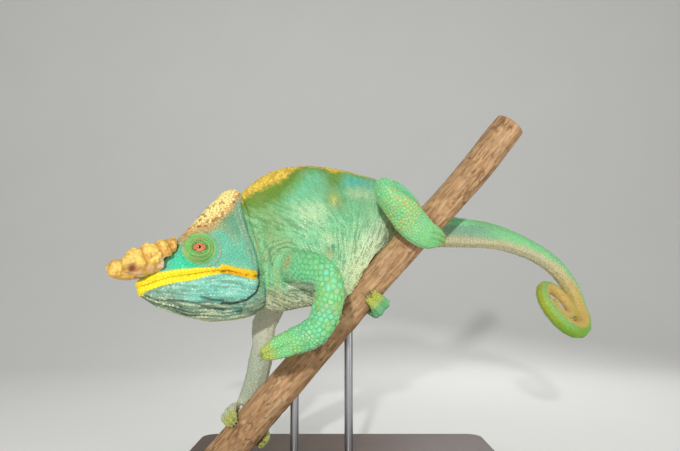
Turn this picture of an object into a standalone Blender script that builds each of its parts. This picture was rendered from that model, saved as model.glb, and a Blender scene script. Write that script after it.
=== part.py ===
"""Parson's chameleon, an adult male, life size, gripping a cut branch on a display stand.

The animal faces -X and its left side faces -Y. The origin is the middle of the stand's
underside. Lengths below are millimetres and become metres when a mesh is made.
Body parts are lofts: rings of points set along a path or a profile. Neighbouring nodes
share one loft and are parted by thin cuts, or one is cut by a slightly grown copy of the other.
"""

import math

import bpy
import numpy as np

# ---------------------------------------------------------------- driving dimensions
MM = 0.001
GAP = 0.3
PART_CUT = 0.2
GRIP_GAP = 0.8

BASE_LENGTH = 300.0
BASE_WIDTH = 190.0
BASE_HEIGHT = 14.0
BASE_CORNER = 18.0
CORNER_POINTS = 5
BASE_BEVEL = 2.5
ROD_RADIUS = 4.0
ROD_PLACES = (-44.0, 6.0)
COLLAR_RADIUS = 9.0
COLLAR_HEIGHT = 5.0

NECK_PIVOT = (-78.0, -27.0)
HEAD_YAW = math.radians(30.0)
TRUNK_YAW = math.radians(22.4)

EYE_FORWARD = 55.2
EYE_SIDE = 11.5
EYE_HEIGHT = 201.0
EYE_TURN = math.radians(18.0)
EYE_LIFT = 0.14
EYEBALL_RADIUS = 6.0
EYEBALL_OUT = 8.4
# Skin cone round an eye: distance out along the eye's axis, radius.
TURRET = ((-5.5, 6.0), (-3.5, 9.6), (0.0, 12.8), (4.0, 13.2),
          (7.5, 12.1), (10.5, 9.6), (12.8, 6.6), (13.8, 4.4))

# Horn: forward, out, height, half-height, half-width. The right horn reaches a little further.
HORN = (
    (70, 7.0, 207, 3.6, 4.6),
    (77, 9.5, 203.5, 6.6, 7.0),
    (87, 12.0, 196.5, 10.8, 8.2),
    (98, 13.6, 191.2, 11.6, 8.4),
    (107, 14.4, 188.6, 10.9, 7.6),
    (113, 14.8, 187.2, 8.2, 5.8),
    (116, 14.8, 187, 4.2, 3.2),
)
RIGHT_HORN = (
    (70, 7.0, 207, 3.6, 4.6),
    (77, 9.5, 203, 6.4, 7.0),
    (88, 12.0, 194.5, 10.2, 8.2),
    (100, 13.8, 187.6, 10.4, 8.4),
    (110, 14.6, 184.6, 8.8, 7.6),
    (117.5, 15.0, 185.2, 8.2, 6.4),
    (122.5, 15.0, 185.8, 4.6, 3.6),
)

CLAW_LENGTH = 4.2
CLAW_RADIUS = 1.5

# The branch axis lies in the plane y = 0. Columns: x, z, radius.
BRANCH = (
    (-125, -2, 17.0),
    (-105, 21, 16.8),
    (-54, 79.5, 16.2),
    (-20, 118.5, 15.8),
    (18, 162.5, 15.4),
    (58, 206.8, 15.3),
    (94, 244.5, 14.6),
    (128, 282.5, 15.4),
    (163, 327, 15.0),
)

# Upper head: forward and height of the mouth line, forward and height of the top line,
# half-widths at the lip, the cheek and the crest, and where the crest lies from mouth to top.
HEAD = (
    (103.5, 170.0, 103.0, 174.0, 4.0, 4.2, 2.0, 0.70),
    (99.0, 172.0, 98.5, 181.5, 8.5, 9.0, 5.0, 0.72),
    (91.0, 175.0, 90.0, 191.0, 12.0, 12.8, 8.5, 0.74),
    (80.0, 178.0, 78.0, 203.0, 15.5, 16.2, 12.0, 0.76),
    (68.0, 180.3, 66.0, 216.0, 18.5, 19.0, 15.0, 0.80),
    (56.0, 182.0, 54.0, 231.0, 20.5, 21.0, 17.0, 0.72),
    (44.0, 184.0, 43.0, 243.5, 22.0, 23.0, 17.5, 0.64),
    (32.0, 183.5, 33.0, 254.0, 23.0, 24.3, 16.5, 0.68),
    (20.0, 180.5, 25.0, 258.0, 23.6, 24.6, 15.0, 0.78),
    (9.0, 179.3, 19.0, 257.0, 23.4, 24.0, 13.0, 0.86),
    (1.0, 178.8, 15.0, 250.0, 21.5, 22.0, 11.0, 0.88),
    (-3.5, 180.0, 11.5, 239.0, 16.0, 17.0, 8.0, 0.86),
)

# Lower jaw and throat: forward and height at the mouth line, forward and height of the
# throat line, half-widths at the lip and at the jaw's swell.
JAW = (
    (102.5, 169.4, 101.0, 163.0, 3.6, 3.4),
    (90.0, 174.6, 86.0, 152.8, 11.6, 10.8),
    (79.0, 177.6, 74.0, 148.2, 15.0, 14.2),
    (54.0, 181.8, 47.0, 141.0, 20.2, 20.0),
    (42.0, 183.6, 34.0, 139.8, 21.8, 22.4),
    (20.0, 180.1, 11.0, 142.4, 23.2, 24.4),
    (8.0, 178.9, 1.0, 145.0, 22.6, 23.4),
    (0.0, 178.4, -5.0, 148.5, 19.0, 20.0),
    (-4.0, 176.0, -7.0, 155.0, 13.0, 14.0),
)

# Neck, trunk and hips: rearward place and height of the back line, then of the belly line,
# half-width, level of the greatest width, fullness above and below it.
TRUNK = (
    (-16, 254.0, -9, 160.0, 15.0, 0.45, 2.0, 2.0),
    (-4, 265.6, 3, 152.0, 20.0, 0.42, 1.9, 2.1),
    (10, 275.5, 17, 147.6, 24.0, 0.40, 1.8, 2.2),
    (28, 282.4, 33, 148.6, 26.0, 0.40, 1.75, 2.2),
    (50, 285.6, 52, 152.0, 27.0, 0.40, 1.7, 2.2),
    (68, 285.4, 74, 146.6, 27.0, 0.42, 1.7, 2.2),
    (82, 284.4, 90, 145.0, 26.0, 0.44, 1.7, 2.1),
    (94, 282.6, 106, 160.0, 24.5, 0.46, 1.7, 2.0),
    (104, 280.8, 123, 194.0, 22.0, 0.46, 1.7, 1.9),
    (112, 279.2, 136, 224.0, 18.0, 0.48, 1.8, 1.8),
    (121, 276.8, 131, 243.0, 14.5, 0.50, 1.9, 1.9),
    (133, 272.0, 137, 236.0, 15.0, 0.50, 1.9, 2.0),
    (149, 265.6, 150, 222.0, 16.5, 0.48, 1.9, 2.1),
    (169, 254.2, 163, 212.6, 15.5, 0.50, 2.0, 2.0),
)
TRUNK_STEPS = 2
NECK_ENDS = 4
TRUNK_ENDS = 20

# Tail before the curl: x, y, z, half-height, half-width.
TAIL = (
    (75.5, 36.3, 233.4, 21.0, 15.4),
    (88, 41.4, 231.4, 19.4, 14.4),
    (102, 44, 228, 17.8, 13.4),
    (121, 43, 226, 16.0, 12.6),
    (144, 44, 224, 14.8, 12.0),
    (165, 43, 219.5, 12.8, 11.4),
    (183, 41, 212, 10.8, 10.4),
    (199, 38.5, 203.5, 9.8, 9.6),
    (213, 35.5, 192, 9.4, 9.0),
    (223, 32.5, 178.5, 9.2, 8.6),
    (230, 29.5, 163.5, 9.3, 8.6),
)
CURL_CENTRE = (207.8, 7.4, 153.6)
CURL_LONG = (0.740, 0.110, -0.664)
CURL_ACROSS = (0.380, 0.757, 0.532)
CURL_START = math.radians(46.0)
CURL_TURNS = 1.75
CURL_RADIUS = 28.3
CURL_STRETCH = 1.14
CURL_CLOSING = 14.3
CURL_ROOT_THICKNESS = (9.4, 8.6)
CURL_TIP_THICKNESS = (2.6, 2.4)

# Limbs: x, y, z, broad half-width, thin half-width, root first.
FORELIMB_LEFT = (
    (-58, -20, 190, 16.0, 10.0),
    (-44, -42, 187.5, 15.0, 10.5),
    (-28, -60, 186.5, 14.4, 10.2),
    (-15, -71, 181, 13.6, 10.0),
    (-10, -75, 168, 13.6, 9.8),
    (-13, -74, 152, 13.6, 9.6),
    (-18, -70, 139, 12.8, 9.6),
    (-28, -67, 130.5, 12.6, 9.6),
    (-42, -66, 125.2, 11.8, 9.0),
)
FORELIMB_RIGHT = (
    (-60, -4, 186, 13.0, 10.0),
    (-62, 10, 168, 12.4, 9.6),
    (-67.5, 18, 150, 12.0, 9.6),
    (-76, 21, 134, 12.4, 9.6),
    (-76.5, 22, 116, 11.2, 9.2),
    (-79.5, 23, 98, 12.0, 9.0),
    (-83.5, 24, 80, 11.4, 8.6),
    (-89, 23, 66, 10.4, 7.8),
    (-93.5, 19.5, 56, 9.4, 6.4),
)
HINDLIMB_LEFT = (
    (68, 18, 244, 15.0, 12.0),
    (57.5, -4, 250.8, 14.6, 11.4),
    (46, -20, 256.0, 14.2, 10.6),
    (37.6, -34.5, 255.8, 13.4, 9.8),
    (43, -42, 246.4, 14.2, 9.4),
    (53.5, -40.5, 237, 15.0, 9.2),
    (63, -34.5, 227.2, 15.4, 8.8),
    (71, -30, 221, 14.8, 8.0),
    (78, -25.5, 217.4, 13.6, 7.2),
    (85, -19.5, 216.2, 11.2, 6.4),
    (90.5, -13, 215.4, 8.2, 5.0),
    (95.5, -7, 213.4, 5.6, 3.4),
)
HINDLIMB_RIGHT = (
    (58, 34, 232, 14.0, 11.5),
    (47, 50, 225, 13.4, 11.0),
    (34, 60, 214, 12.4, 10.0),
    (22, 63, 202, 11.8, 9.4),
    (15, 57, 191, 11.6, 9.0),
    (12, 46, 182, 11.2, 8.8),
    (14, 34, 175, 10.6, 8.2),
)
LIMB_STEPS = 2
# Raised left hand: x, z, broad half-width, thin half-width of a toe bundle, and the bundles' y.
RAISED_TOES = ((-42.6, 125.0, 11.2, 4.3), (-51, 121.6, 10.2, 4.3), (-59, 118, 8.2, 4.0), (-66, 115, 5.0, 3.0))
RAISED_OUTER_Y = -71.2
RAISED_INNER_Y = -61.4
RIGHT_HAND_X = -88.0
LEFT_FOOT_X = 75.0
RIGHT_FOOT_X = 19.0

MATERIALS = {
    "mint_skin": ((0.16, 0.52, 0.36), 0.55, 0.0),
    "turquoise_skin": ((0.08, 0.45, 0.42), 0.55, 0.0),
    "casque_skin": ((0.62, 0.58, 0.30), 0.55, 0.0),
    "lip_skin": ((0.80, 0.55, 0.06), 0.5, 0.0),
    "horn_skin": ((0.60, 0.42, 0.20), 0.6, 0.0),
    "toe_skin": ((0.45, 0.55, 0.12), 0.55, 0.0),
    "eye_glass": ((0.45, 0.10, 0.03), 0.15, 0.0),
    "bark": ((0.42, 0.26, 0.15), 0.85, 0.0),
    "stand_wood": ((0.16, 0.09, 0.05), 0.5, 0.0),
    "stand_steel": ((0.55, 0.55, 0.56), 0.35, 1.0),
}


# ---------------------------------------------------------------- numbers and paths
def smooth_rows(rows, steps):
    """Rows of numbers with `steps` spans put in between each pair, on a Catmull-Rom curve."""
    p = np.array(rows, float)
    p = np.vstack([2 * p[0] - p[1], p, 2 * p[-1] - p[-2]])
    out = []
    for i in range(1, len(p) - 2):
        for k in range(steps):
            t = k / steps
            a, b, c, d = p[i - 1], p[i], p[i + 1], p[i + 2]
            out.append(0.5 * (2 * b + (c - a) * t + (2 * a - 5 * b + 4 * c - d) * t * t
                              + (3 * b - a - 3 * c + d) * t ** 3))
    out.append(p[-2])
    return np.array(out)


def unit(v):
    v = np.asarray(v, float)
    return v / np.linalg.norm(v, axis=-1, keepdims=True)


def turned_sides(points, side_first, side_last):
    """Tangents of a path, and side vectors square to them that turn from the first to the last."""
    tangents = unit(np.gradient(points, axis=0))
    share = np.linspace(0.0, 1.0, len(points))[:, None]
    sides = (1 - share) * np.array(side_first, float) + share * np.array(side_last, float)
    sides -= np.sum(sides * tangents, axis=1, keepdims=True) * tangents
    return tangents, unit(sides)


def power_circle(count, fullness_up=2.0, fullness_down=2.0):
    """Points round a rounded outline: x across, y up, each from -1 to 1."""
    angles = np.arange(count) * 2 * math.pi / count + math.pi / count
    c, s = np.cos(angles), np.sin(angles)
    fullness = np.where(s > 0, fullness_up, fullness_down)
    x = np.sign(c) * np.abs(c) ** (2 / fullness)
    y = np.sign(s) * np.abs(s) ** (2 / fullness)
    return x, y


# ---------------------------------------------------------------- frames of the body
HEAD_FORWARD = np.array([-math.cos(HEAD_YAW), -math.sin(HEAD_YAW), 0.0])
HEAD_LEFT = np.array([math.sin(HEAD_YAW), -math.cos(HEAD_YAW), 0.0])
TRUNK_REAR = np.array([math.cos(TRUNK_YAW), math.sin(TRUNK_YAW), 0.0])
TRUNK_LEFT = np.array([math.sin(TRUNK_YAW), -math.cos(TRUNK_YAW), 0.0])
PIVOT = np.array([NECK_PIVOT[0], NECK_PIVOT[1], 0.0])
UP = np.array([0.0, 0.0, 1.0])


def head_point(forward, left, height):
    return PIVOT + forward * HEAD_FORWARD + left * HEAD_LEFT + height * UP


def branch_rows(steps=2):
    return smooth_rows(BRANCH, steps)


def branch_at(x):
    """Centre, direction and radius of the branch where its axis has this x."""
    rows = branch_rows(8)
    z = np.interp(x, rows[:, 0], rows[:, 1])
    radius = np.interp(x, rows[:, 0], rows[:, 2])
    dz = np.interp(x + 4, rows[:, 0], rows[:, 1]) - np.interp(x - 4, rows[:, 0], rows[:, 1])
    return np.array([x, 0.0, z]), unit([8.0, 0.0, dz]), radius


# ---------------------------------------------------------------- meshes
def new_object(name, points, faces, material=None):
    mesh = bpy.data.meshes.new(name)
    mesh.from_pydata([tuple(p * MM) for p in np.asarray(points, float)], [], faces)
    mesh.update()
    mesh.shade_smooth()
    obj = bpy.data.objects.new(name, mesh)
    bpy.context.scene.collection.objects.link(obj)
    if material:
        mesh.materials.append(principled(material))
    return obj


def principled(name):
    """The named material, made on first use."""
    found = bpy.data.materials.get(name)
    if found:
        return found
    colour, roughness, metallic = MATERIALS[name]
    material = bpy.data.materials.new(name)
    material.use_nodes = True
    shader = material.node_tree.nodes["Principled BSDF"]
    shader.inputs["Base Color"].default_value = (*colour, 1.0)
    shader.inputs["Roughness"].default_value = roughness
    shader.inputs["Metallic"].default_value = metallic
    material.diffuse_color = (*colour, 1.0)
    return material


def loft(name, rings, material=None):
    """A closed solid through rings of equal count, with its faces turned outward."""
    rings = [np.asarray(r, float) for r in rings]
    count = len(rings[0])
    faces = []
    for i in range(len(rings) - 1):
        for k in range(count):
            a, b = i * count + k, i * count + (k + 1) % count
            faces.append((a, b, b + count, a + count))
    faces.append(tuple(range(count - 1, -1, -1)))
    faces.append(tuple(range((len(rings) - 1) * count, len(rings) * count)))
    points = np.vstack(rings)
    if signed_volume(points, faces) < 0:
        faces = [tuple(reversed(f)) for f in faces]
    return new_object(name, points, faces, material)


def signed_volume(points, faces):
    total = 0.0
    for f in faces:
        for i in range(1, len(f) - 1):
            total += np.dot(points[f[0]], np.cross(points[f[i]], points[f[i + 1]]))
    return total


def part_cut(rings, start=False, end=False):
    """Rings with the first or last one drawn in, for the thin cut between two nodes."""
    rings = [r.copy() for r in rings]
    if start:
        rings[0] += PART_CUT * unit(rings[1].mean(0) - rings[0].mean(0))
    if end:
        rings[-1] -= PART_CUT * unit(rings[-1].mean(0) - rings[-2].mean(0))
    return rings


def guide(obj):
    """Marks an object as a cutter, which isn't a piece of the model."""
    obj.hide_render = True
    obj.display_type = "WIRE"
    return obj


def subtract(obj, *cutters):
    for cutter in cutters:
        boolean(obj, cutter, "DIFFERENCE")


def boolean(obj, other, operation):
    modifier = obj.modifiers.new(operation.lower() + "_" + other.name, "BOOLEAN")
    modifier.operation = operation
    modifier.solver = "EXACT"
    modifier.object = other


# ---------------------------------------------------------------- rings
def limb_rings(stations, sides):
    """Rings along a limb. `sides` holds its thin direction at the root and at the tip."""
    rows = smooth_rows(stations, LIMB_STEPS)
    return path_rings(rows[:, :3], rows[:, 3], rows[:, 4], sides)


def path_rings(points, broad, thin, side_pair, count=10):
    tangents, sides = turned_sides(points, *side_pair)
    x, y = power_circle(count)
    rings = []
    for p, t, s, b, h in zip(points, tangents, sides, broad, thin):
        across = np.cross(t, s)
        rings.append(p + np.outer(x * h, s) + np.outer(y * b, across))
    return rings


def trunk_rings(grow=0.0, count=22):
    rings = []
    for u_top, z_top, u_low, z_low, half, level, full_up, full_down in smooth_rows(TRUNK, TRUNK_STEPS):
        top = PIVOT + u_top * TRUNK_REAR + z_top * UP
        low = PIVOT + u_low * TRUNK_REAR + z_low * UP
        height = top - low
        span = np.linalg.norm(height)
        middle = low + height * level
        x, y = power_circle(count, full_up, full_down)
        rise = np.where(y > 0, span * (1 - level) + grow, span * level + grow)
        rings.append(middle + np.outer(x * (half + grow), TRUNK_LEFT) + np.outer(y * rise, height / span))
    return rings


def tail_rows():
    """Centre points, half-heights and half-widths from the hips to the tail's tip."""
    rows = smooth_rows(TAIL + (curl_point(0.0),), 2)
    turns = np.arange(1, int(CURL_TURNS * 16) + 1) / 16
    return np.vstack([rows, [curl_point(t) for t in turns]])


def curl_point(turns):
    angle = CURL_START - turns * 2 * math.pi
    radius = CURL_RADIUS - CURL_CLOSING * turns
    place = (np.array(CURL_CENTRE) + CURL_STRETCH * radius * math.cos(angle) * unit(CURL_LONG)
             + radius * math.sin(angle) * unit(CURL_ACROSS))
    share = turns / CURL_TURNS
    tall = CURL_ROOT_THICKNESS[0] * (1 - share) + CURL_TIP_THICKNESS[0] * share
    wide = CURL_ROOT_THICKNESS[1] * (1 - share) + CURL_TIP_THICKNESS[1] * share
    return (*place, tall, wide)


def head_rings(grow=0.0):
    """Flat below at the mouth, full at the cheek, with a side crest and a roof above it."""
    rings = []
    for row in smooth_rows(HEAD, 2):
        f_low, z_low, f_top, z_top, lip, cheek, crest, level = row
        share = (0.0, 0.0, 0.02, 0.14, 0.40, 0.74, 1.0)
        width = (0.0, 0.55 * lip, lip, lip + 0.6, cheek, 0.45 * cheek + 0.55 * crest, crest)
        half = [(w, s * level) for w, s in zip(width, share)]
        half += [(w * crest, level + s * (1 - level)) for w, s in ((0.66, 0.42), (0.30, 0.86), (0.0, 1.0))]
        rings.append(profile_ring(half, f_low, z_low, f_top, z_top, grow))
    return rings


def jaw_rings(grow=0.0):
    """Flat above at the mouth, swelling to the jaw and narrowing to the throat."""
    rings = []
    for f_high, z_high, f_low, z_low, lip, jaw in smooth_rows(JAW, 2):
        half = [(0.0, 0.0), (0.55 * lip, 0.0), (lip, 0.03), (lip + 0.8, 0.14)]
        half += [(0.5 * (lip + jaw) + 0.9, 0.34)]
        half += [(jaw * w, s) for w, s in ((0.94, 0.56), (0.74, 0.78), (0.40, 0.94), (0.0, 1.0))]
        rings.append(profile_ring(half, f_high, z_high, f_low, z_low, grow))
    return rings


def profile_ring(half, f_start, z_start, f_end, z_end, grow):
    """A ring of the head's frame, alike on both sides, between two points of its middle plane."""
    sides = list(half) + [(-w, s) for w, s in reversed(half[1:-1])]
    ring = np.array([head_point(f_start + (f_end - f_start) * s, w, z_start + (z_end - z_start) * s)
                     for w, s in sides])
    if grow:
        middle = ring.mean(0)
        ring = ring + grow * 1.4 * unit(ring - middle)
    return ring


def extended(rings, length):
    """Rings with both ends pushed out along the path, for a grown copy."""
    rings = [r.copy() for r in rings]
    rings[0] += length * unit(rings[0].mean(0) - rings[1].mean(0))
    rings[-1] += length * unit(rings[-1].mean(0) - rings[-2].mean(0))
    return rings


# ---------------------------------------------------------------- head
def make_head(cutters):
    head = loft("head", head_rings(), "casque_skin")
    loft("lower_jaw", jaw_rings(), "lip_skin")
    cutters["head"] = guide(loft("guide_head", extended(head_rings(GAP), 2 * GAP)))
    cutters["jaw"] = guide(loft("guide_jaw", extended(jaw_rings(GAP), 2 * GAP)))
    for side, name in ((1, "left"), (-1, "right")):
        socket = guide(loft("guide_socket_" + name, extended(turret_rings(side, GAP), GAP)))
        subtract(head, socket)
        make_eye(side, name)
        make_horn(side, name, cutters["head"], socket)


def eye_axis(side):
    return unit(math.sin(EYE_TURN) * HEAD_FORWARD + side * math.cos(EYE_TURN) * HEAD_LEFT + EYE_LIFT * UP)


def turret_rings(side, grow=0.0, count=11):
    """The cone of skin round an eye, from its base in the head to its rim."""
    axis = eye_axis(side)
    centre = head_point(EYE_FORWARD, side * EYE_SIDE, EYE_HEIGHT)
    across = unit(np.cross(axis, UP))
    lift = np.cross(across, axis)
    x, y = power_circle(count)
    return [centre + axis * out + (radius + grow) * (np.outer(x, across) + np.outer(y, lift))
            for out, radius in TURRET]


def ball_rings(centre, radius, axis, count=9, rows=5):
    across = unit(np.cross(axis, UP))
    lift = np.cross(across, axis)
    x, y = power_circle(count)
    rings = []
    for i in range(1, rows + 1):
        angle = math.pi * i / (rows + 1)
        rings.append(centre - axis * radius * math.cos(angle)
                     + radius * math.sin(angle) * (np.outer(x, across) + np.outer(y, lift)))
    return rings


def make_eye(side, name):
    axis = eye_axis(side)
    centre = head_point(EYE_FORWARD, side * EYE_SIDE, EYE_HEIGHT) + axis * EYEBALL_OUT
    loft("eyeball_" + name, ball_rings(centre, EYEBALL_RADIUS, axis), "eye_glass")
    room = guide(loft("guide_eyeball_" + name, ball_rings(centre, EYEBALL_RADIUS + 1.5 * GAP, axis)))
    turret = loft("eye_turret_" + name, turret_rings(side), "mint_skin")
    subtract(turret, room)


def make_horn(side, name, head_cutter, socket):
    """A blunt warty lobe above the nostril, longer and lower on the right."""
    shape = HORN if side > 0 else RIGHT_HORN
    rows = [(*head_point(f, side * out, z), tall, wide) for f, out, z, tall, wide in shape]
    horn = loft("horn_" + name, limb_rings(rows, (HEAD_LEFT, HEAD_LEFT)), "horn_skin")
    subtract(horn, head_cutter, socket)


# ---------------------------------------------------------------- neck, trunk, tail
def make_body(cutters):
    rings = trunk_rings()
    grown = trunk_rings(GAP)
    branch_cutter = cutters["branch"]
    neck = loft("neck", part_cut(rings[:NECK_ENDS + 1], end=True), "turquoise_skin")
    subtract(neck, cutters["head"], cutters["jaw"])
    trunk = loft("trunk", part_cut(rings[NECK_ENDS:TRUNK_ENDS + 1], start=True, end=True), "turquoise_skin")
    subtract(trunk, branch_cutter)
    hips = loft("hips", part_cut(rings[TRUNK_ENDS:], start=True, end=True), "mint_skin")
    subtract(hips, branch_cutter)
    cutters["trunk"] = guide(loft("guide_trunk", extended(grown, GAP)))
    make_tail(branch_cutter)


def make_tail(branch_cutter):
    rows = tail_rows()
    curl_side = np.cross(CURL_LONG, CURL_ACROSS)
    rings = path_rings(rows[:, :3], rows[:, 3], rows[:, 4], (TRUNK_LEFT, curl_side))
    names = ("tail_base", "tail_middle", "tail_curl_outer", "tail_curl_inner")
    ends = (0, 8, 18, 34, len(rings) - 1)
    for name, first, last in zip(names, ends, ends[1:]):
        obj = loft(name, part_cut(rings[first:last + 1], start=True, end=last < len(rings) - 1), "mint_skin")
        if name == "tail_base":
            subtract(obj, branch_cutter)


# ---------------------------------------------------------------- limbs and feet
def make_limbs(cutters):
    away = (0.0, 1.0, 0.0)
    across = (0.8, 0.55, 0.0)
    limb(("upper_arm_left", "forearm_left", "hand_left"),
         FORELIMB_LEFT, (6, 12), (across, away), cutters)
    limb(("upper_arm_right", "forearm_right", "hand_right"),
         FORELIMB_RIGHT, (5, 11), (away, away), cutters)
    hind_sides = ((0.9, -0.4, 0.0), (-0.9, 1.0, 0.2))
    grown = limb_rings([(x, y, z, broad + GAP, thin + GAP) for x, y, z, broad, thin in HINDLIMB_LEFT], hind_sides)
    cutters["thigh_left"] = guide(loft("guide_thigh_left", grown[:7]))
    limb(("thigh_left", "shank_left", "foot_left", "toes_hind_left_outer"),
         HINDLIMB_LEFT, (6, 12, 16), hind_sides, cutters, claws=3)
    cutters["hind_left"] = guide(loft("guide_hind_left", grown))
    limb(("thigh_right", "shank_right"),
         HINDLIMB_RIGHT, (6,), ((0.7, 0.7, 0.0), (0.9, 0.3, 0.0)), cutters)


def limb(names, stations, cuts, sides, cutters, claws=0):
    """A whole limb, parted at these rings. With claws, its last part is a toe bundle."""
    rings = limb_rings(stations, sides)
    ends = (0, *cuts, len(rings) - 1)
    for i, name in enumerate(names):
        part = part_cut(rings[ends[i]:ends[i + 1] + 1], start=i > 0, end=True)
        if claws and i == len(names) - 1:
            obj = toe_bundle(name, part, claws, np.array([0.0, 0.0, -1.0]))
        else:
            obj = loft(name, part, "mint_skin")
        if i == 0 or name == "shank_right":
            subtract(obj, cutters["trunk"])
        if name == "shank_left":
            subtract(obj, cutters["thigh_left"])
        subtract(obj, cutters["branch"])


def claw_rings(place, along, down):
    """A short curved claw: a cone bent towards `down`."""
    rings = []
    across = np.cross(along, down)
    x, y = power_circle(5)
    for share, radius in ((-0.3, 1.0), (0.45, 0.72), (1.0, 0.2)):
        centre = place + CLAW_LENGTH * share * along + CLAW_LENGTH * 0.4 * share * share * down
        rings.append(centre + CLAW_RADIUS * radius * (np.outer(x, across) + np.outer(y, down)))
    return rings


def toe_bundle(name, rings, claws, inward):
    """Toes joined in one bundle up to their claws."""
    bundle = loft(name, rings, "toe_skin")
    last, before = rings[-1].mean(0), rings[-2].mean(0)
    along = unit(last - before)
    spread = rings[-1][np.argmax(np.linalg.norm(rings[-1] - last, axis=1))] - last
    down = unit(inward - np.dot(inward, along) * along)
    for i in range(claws):
        share = (i + 0.5) / claws * 2 - 1
        claw = guide(loft(f"guide_claw_{name}_{i}", claw_rings(last + 0.8 * share * spread, along, down)))
        boolean(bundle, claw, "UNION")
    return bundle


def grip_rings(x, first, last, rows, width, thickness, drift=0.0, narrowing=0.0, thinning=0.0):
    """Rings lying on the branch between two angles, measured from its upper left to its front."""
    centre, direction, radius = branch_at(x)
    upper_left = unit(np.cross([0.0, 1.0, 0.0], direction))
    upper_left *= np.sign(upper_left[2])
    front = np.array([0.0, -1.0, 0.0])
    outline_x, outline_y = power_circle(10, 2.4, 2.4)
    rings = []
    for share in np.linspace(0.0, 1.0, rows):
        angle = math.radians(first + (last - first) * share)
        out = math.cos(angle) * upper_left + math.sin(angle) * front
        wide = width * (1.0 - narrowing * share ** 2)
        thick = thickness * (1.0 - thinning * share ** 2)
        middle = centre + direction * drift * share + out * (radius + GRIP_GAP + thick)
        rings.append(middle + np.outer(outline_x * wide, direction) + np.outer(outline_y * thick, out))
    return rings


def gripping_bundle(name, x, first, last, width, thickness, claws, drift=0.0):
    """A toe bundle bent round the branch, narrower and thinner at its claws."""
    rings = grip_rings(x, first, last, 6, width, thickness, drift, narrowing=0.42, thinning=0.40)
    return toe_bundle(name, rings, claws, branch_at(x)[0] - rings[-1].mean(0))


def make_feet(cutters):
    along_y = np.array([0.0, 1.0, 0.0])
    for name, y, claws in (("outer", RAISED_OUTER_Y, 2), ("inner", RAISED_INNER_Y, 3)):
        rows = [(x, y, z, broad, thin) for x, z, broad, thin in RAISED_TOES]
        toe_bundle("toes_front_left_" + name, limb_rings(rows, (along_y, along_y)), claws, -UP)
    gripping_bundle("toes_front_right_inner", RIGHT_HAND_X, -29.5, 52, 10.5, 5.2, 3)
    gripping_bundle("toes_front_right_outer", RIGHT_HAND_X, -96.5, -178, 10.5, 5.2, 2)
    foot = loft("foot_right", grip_rings(RIGHT_FOOT_X, 247, 270, 4, 12.0, 6.5), "mint_skin")
    subtract(foot, cutters["trunk"])
    gripping_bundle("toes_hind_right_inner", RIGHT_FOOT_X, 245.5, 104, 12.5, 6.4, 2, drift=4.0)
    hidden = gripping_bundle("toes_hind_left_inner", LEFT_FOOT_X, 44, -85, 11.0, 5.6, 2)
    subtract(hidden, cutters["trunk"], cutters["hind_left"])
    seen = gripping_bundle("toes_hind_right_outer", RIGHT_FOOT_X, 271.5, 304, 11.0, 4.6, 3)
    subtract(seen, cutters["trunk"])


# ---------------------------------------------------------------- branch and stand
def branch_rings(grow=0.0, count=13):
    """Round rings, each a little lumpy."""
    rings = []
    rows = branch_rows()
    directions = unit(np.gradient(rows[:, :2], axis=0))
    x, y = power_circle(count)
    angle = np.arctan2(y, x)
    for i, ((place_x, place_z, radius), (dx, dz)) in enumerate(zip(rows, directions)):
        swell = 1.0 + 0.015 * np.cos(3 * angle + 0.5 * i) + 0.01 * np.cos(5 * angle - 0.8 * i)
        upper_left = np.array([-dz, 0.0, dx])
        centre = np.array([place_x, 0.0, place_z])
        reach = (radius * swell + grow)
        rings.append(centre + np.outer(x * reach, upper_left) + np.outer(y * reach, [0.0, -1.0, 0.0]))
    return rings


def make_branch(cutters):
    branch = loft("perch_branch", branch_rings(), "bark")
    cutters["branch"] = guide(loft("guide_branch", extended(branch_rings(GAP), GAP)))
    depth = 80.0
    floor_centre = (BRANCH[0][0], 0.0, BASE_HEIGHT + GAP - depth / 2)
    floor = guide(box("guide_below_stand_top", floor_centre, (160.0, 120.0, depth)))
    subtract(branch, floor)
    return branch


def box(name, centre, size):
    c, h = np.array(centre, float), np.array(size, float) / 2
    corners = [(-1, -1), (1, -1), (1, 1), (-1, 1)]
    rings = [[c + h * (sx, sy, sz) for sx, sy in corners] for sz in (-1, 1)]
    return loft(name, rings)


def make_stand(cutters):
    """A flat board with round corners and softened edges, and the rods on it."""
    outline = []
    inner_x, inner_y = BASE_LENGTH / 2 - BASE_CORNER, BASE_WIDTH / 2 - BASE_CORNER
    for corner, (sx, sy) in enumerate(((1, 1), (-1, 1), (-1, -1), (1, -1))):
        for k in range(CORNER_POINTS):
            angle = math.radians(90 * (corner + k / (CORNER_POINTS - 1)))
            outline.append((sx * inner_x, sy * inner_y, math.cos(angle), math.sin(angle)))
    rings = []
    for inset, height in ((BASE_BEVEL * 0.4, 0.0), (0.0, BASE_BEVEL * 0.4), (0.0, BASE_HEIGHT - BASE_BEVEL),
                          (BASE_BEVEL * 0.3, BASE_HEIGHT - BASE_BEVEL * 0.3), (BASE_BEVEL, BASE_HEIGHT)):
        radius = BASE_CORNER - inset
        rings.append([np.array([x + radius * c, y + radius * s, height]) for x, y, c, s in outline])
    loft("stand_base", rings, "stand_wood")
    for number, x in enumerate(ROD_PLACES, 1):
        make_rod(number, x, cutters["branch"])


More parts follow.
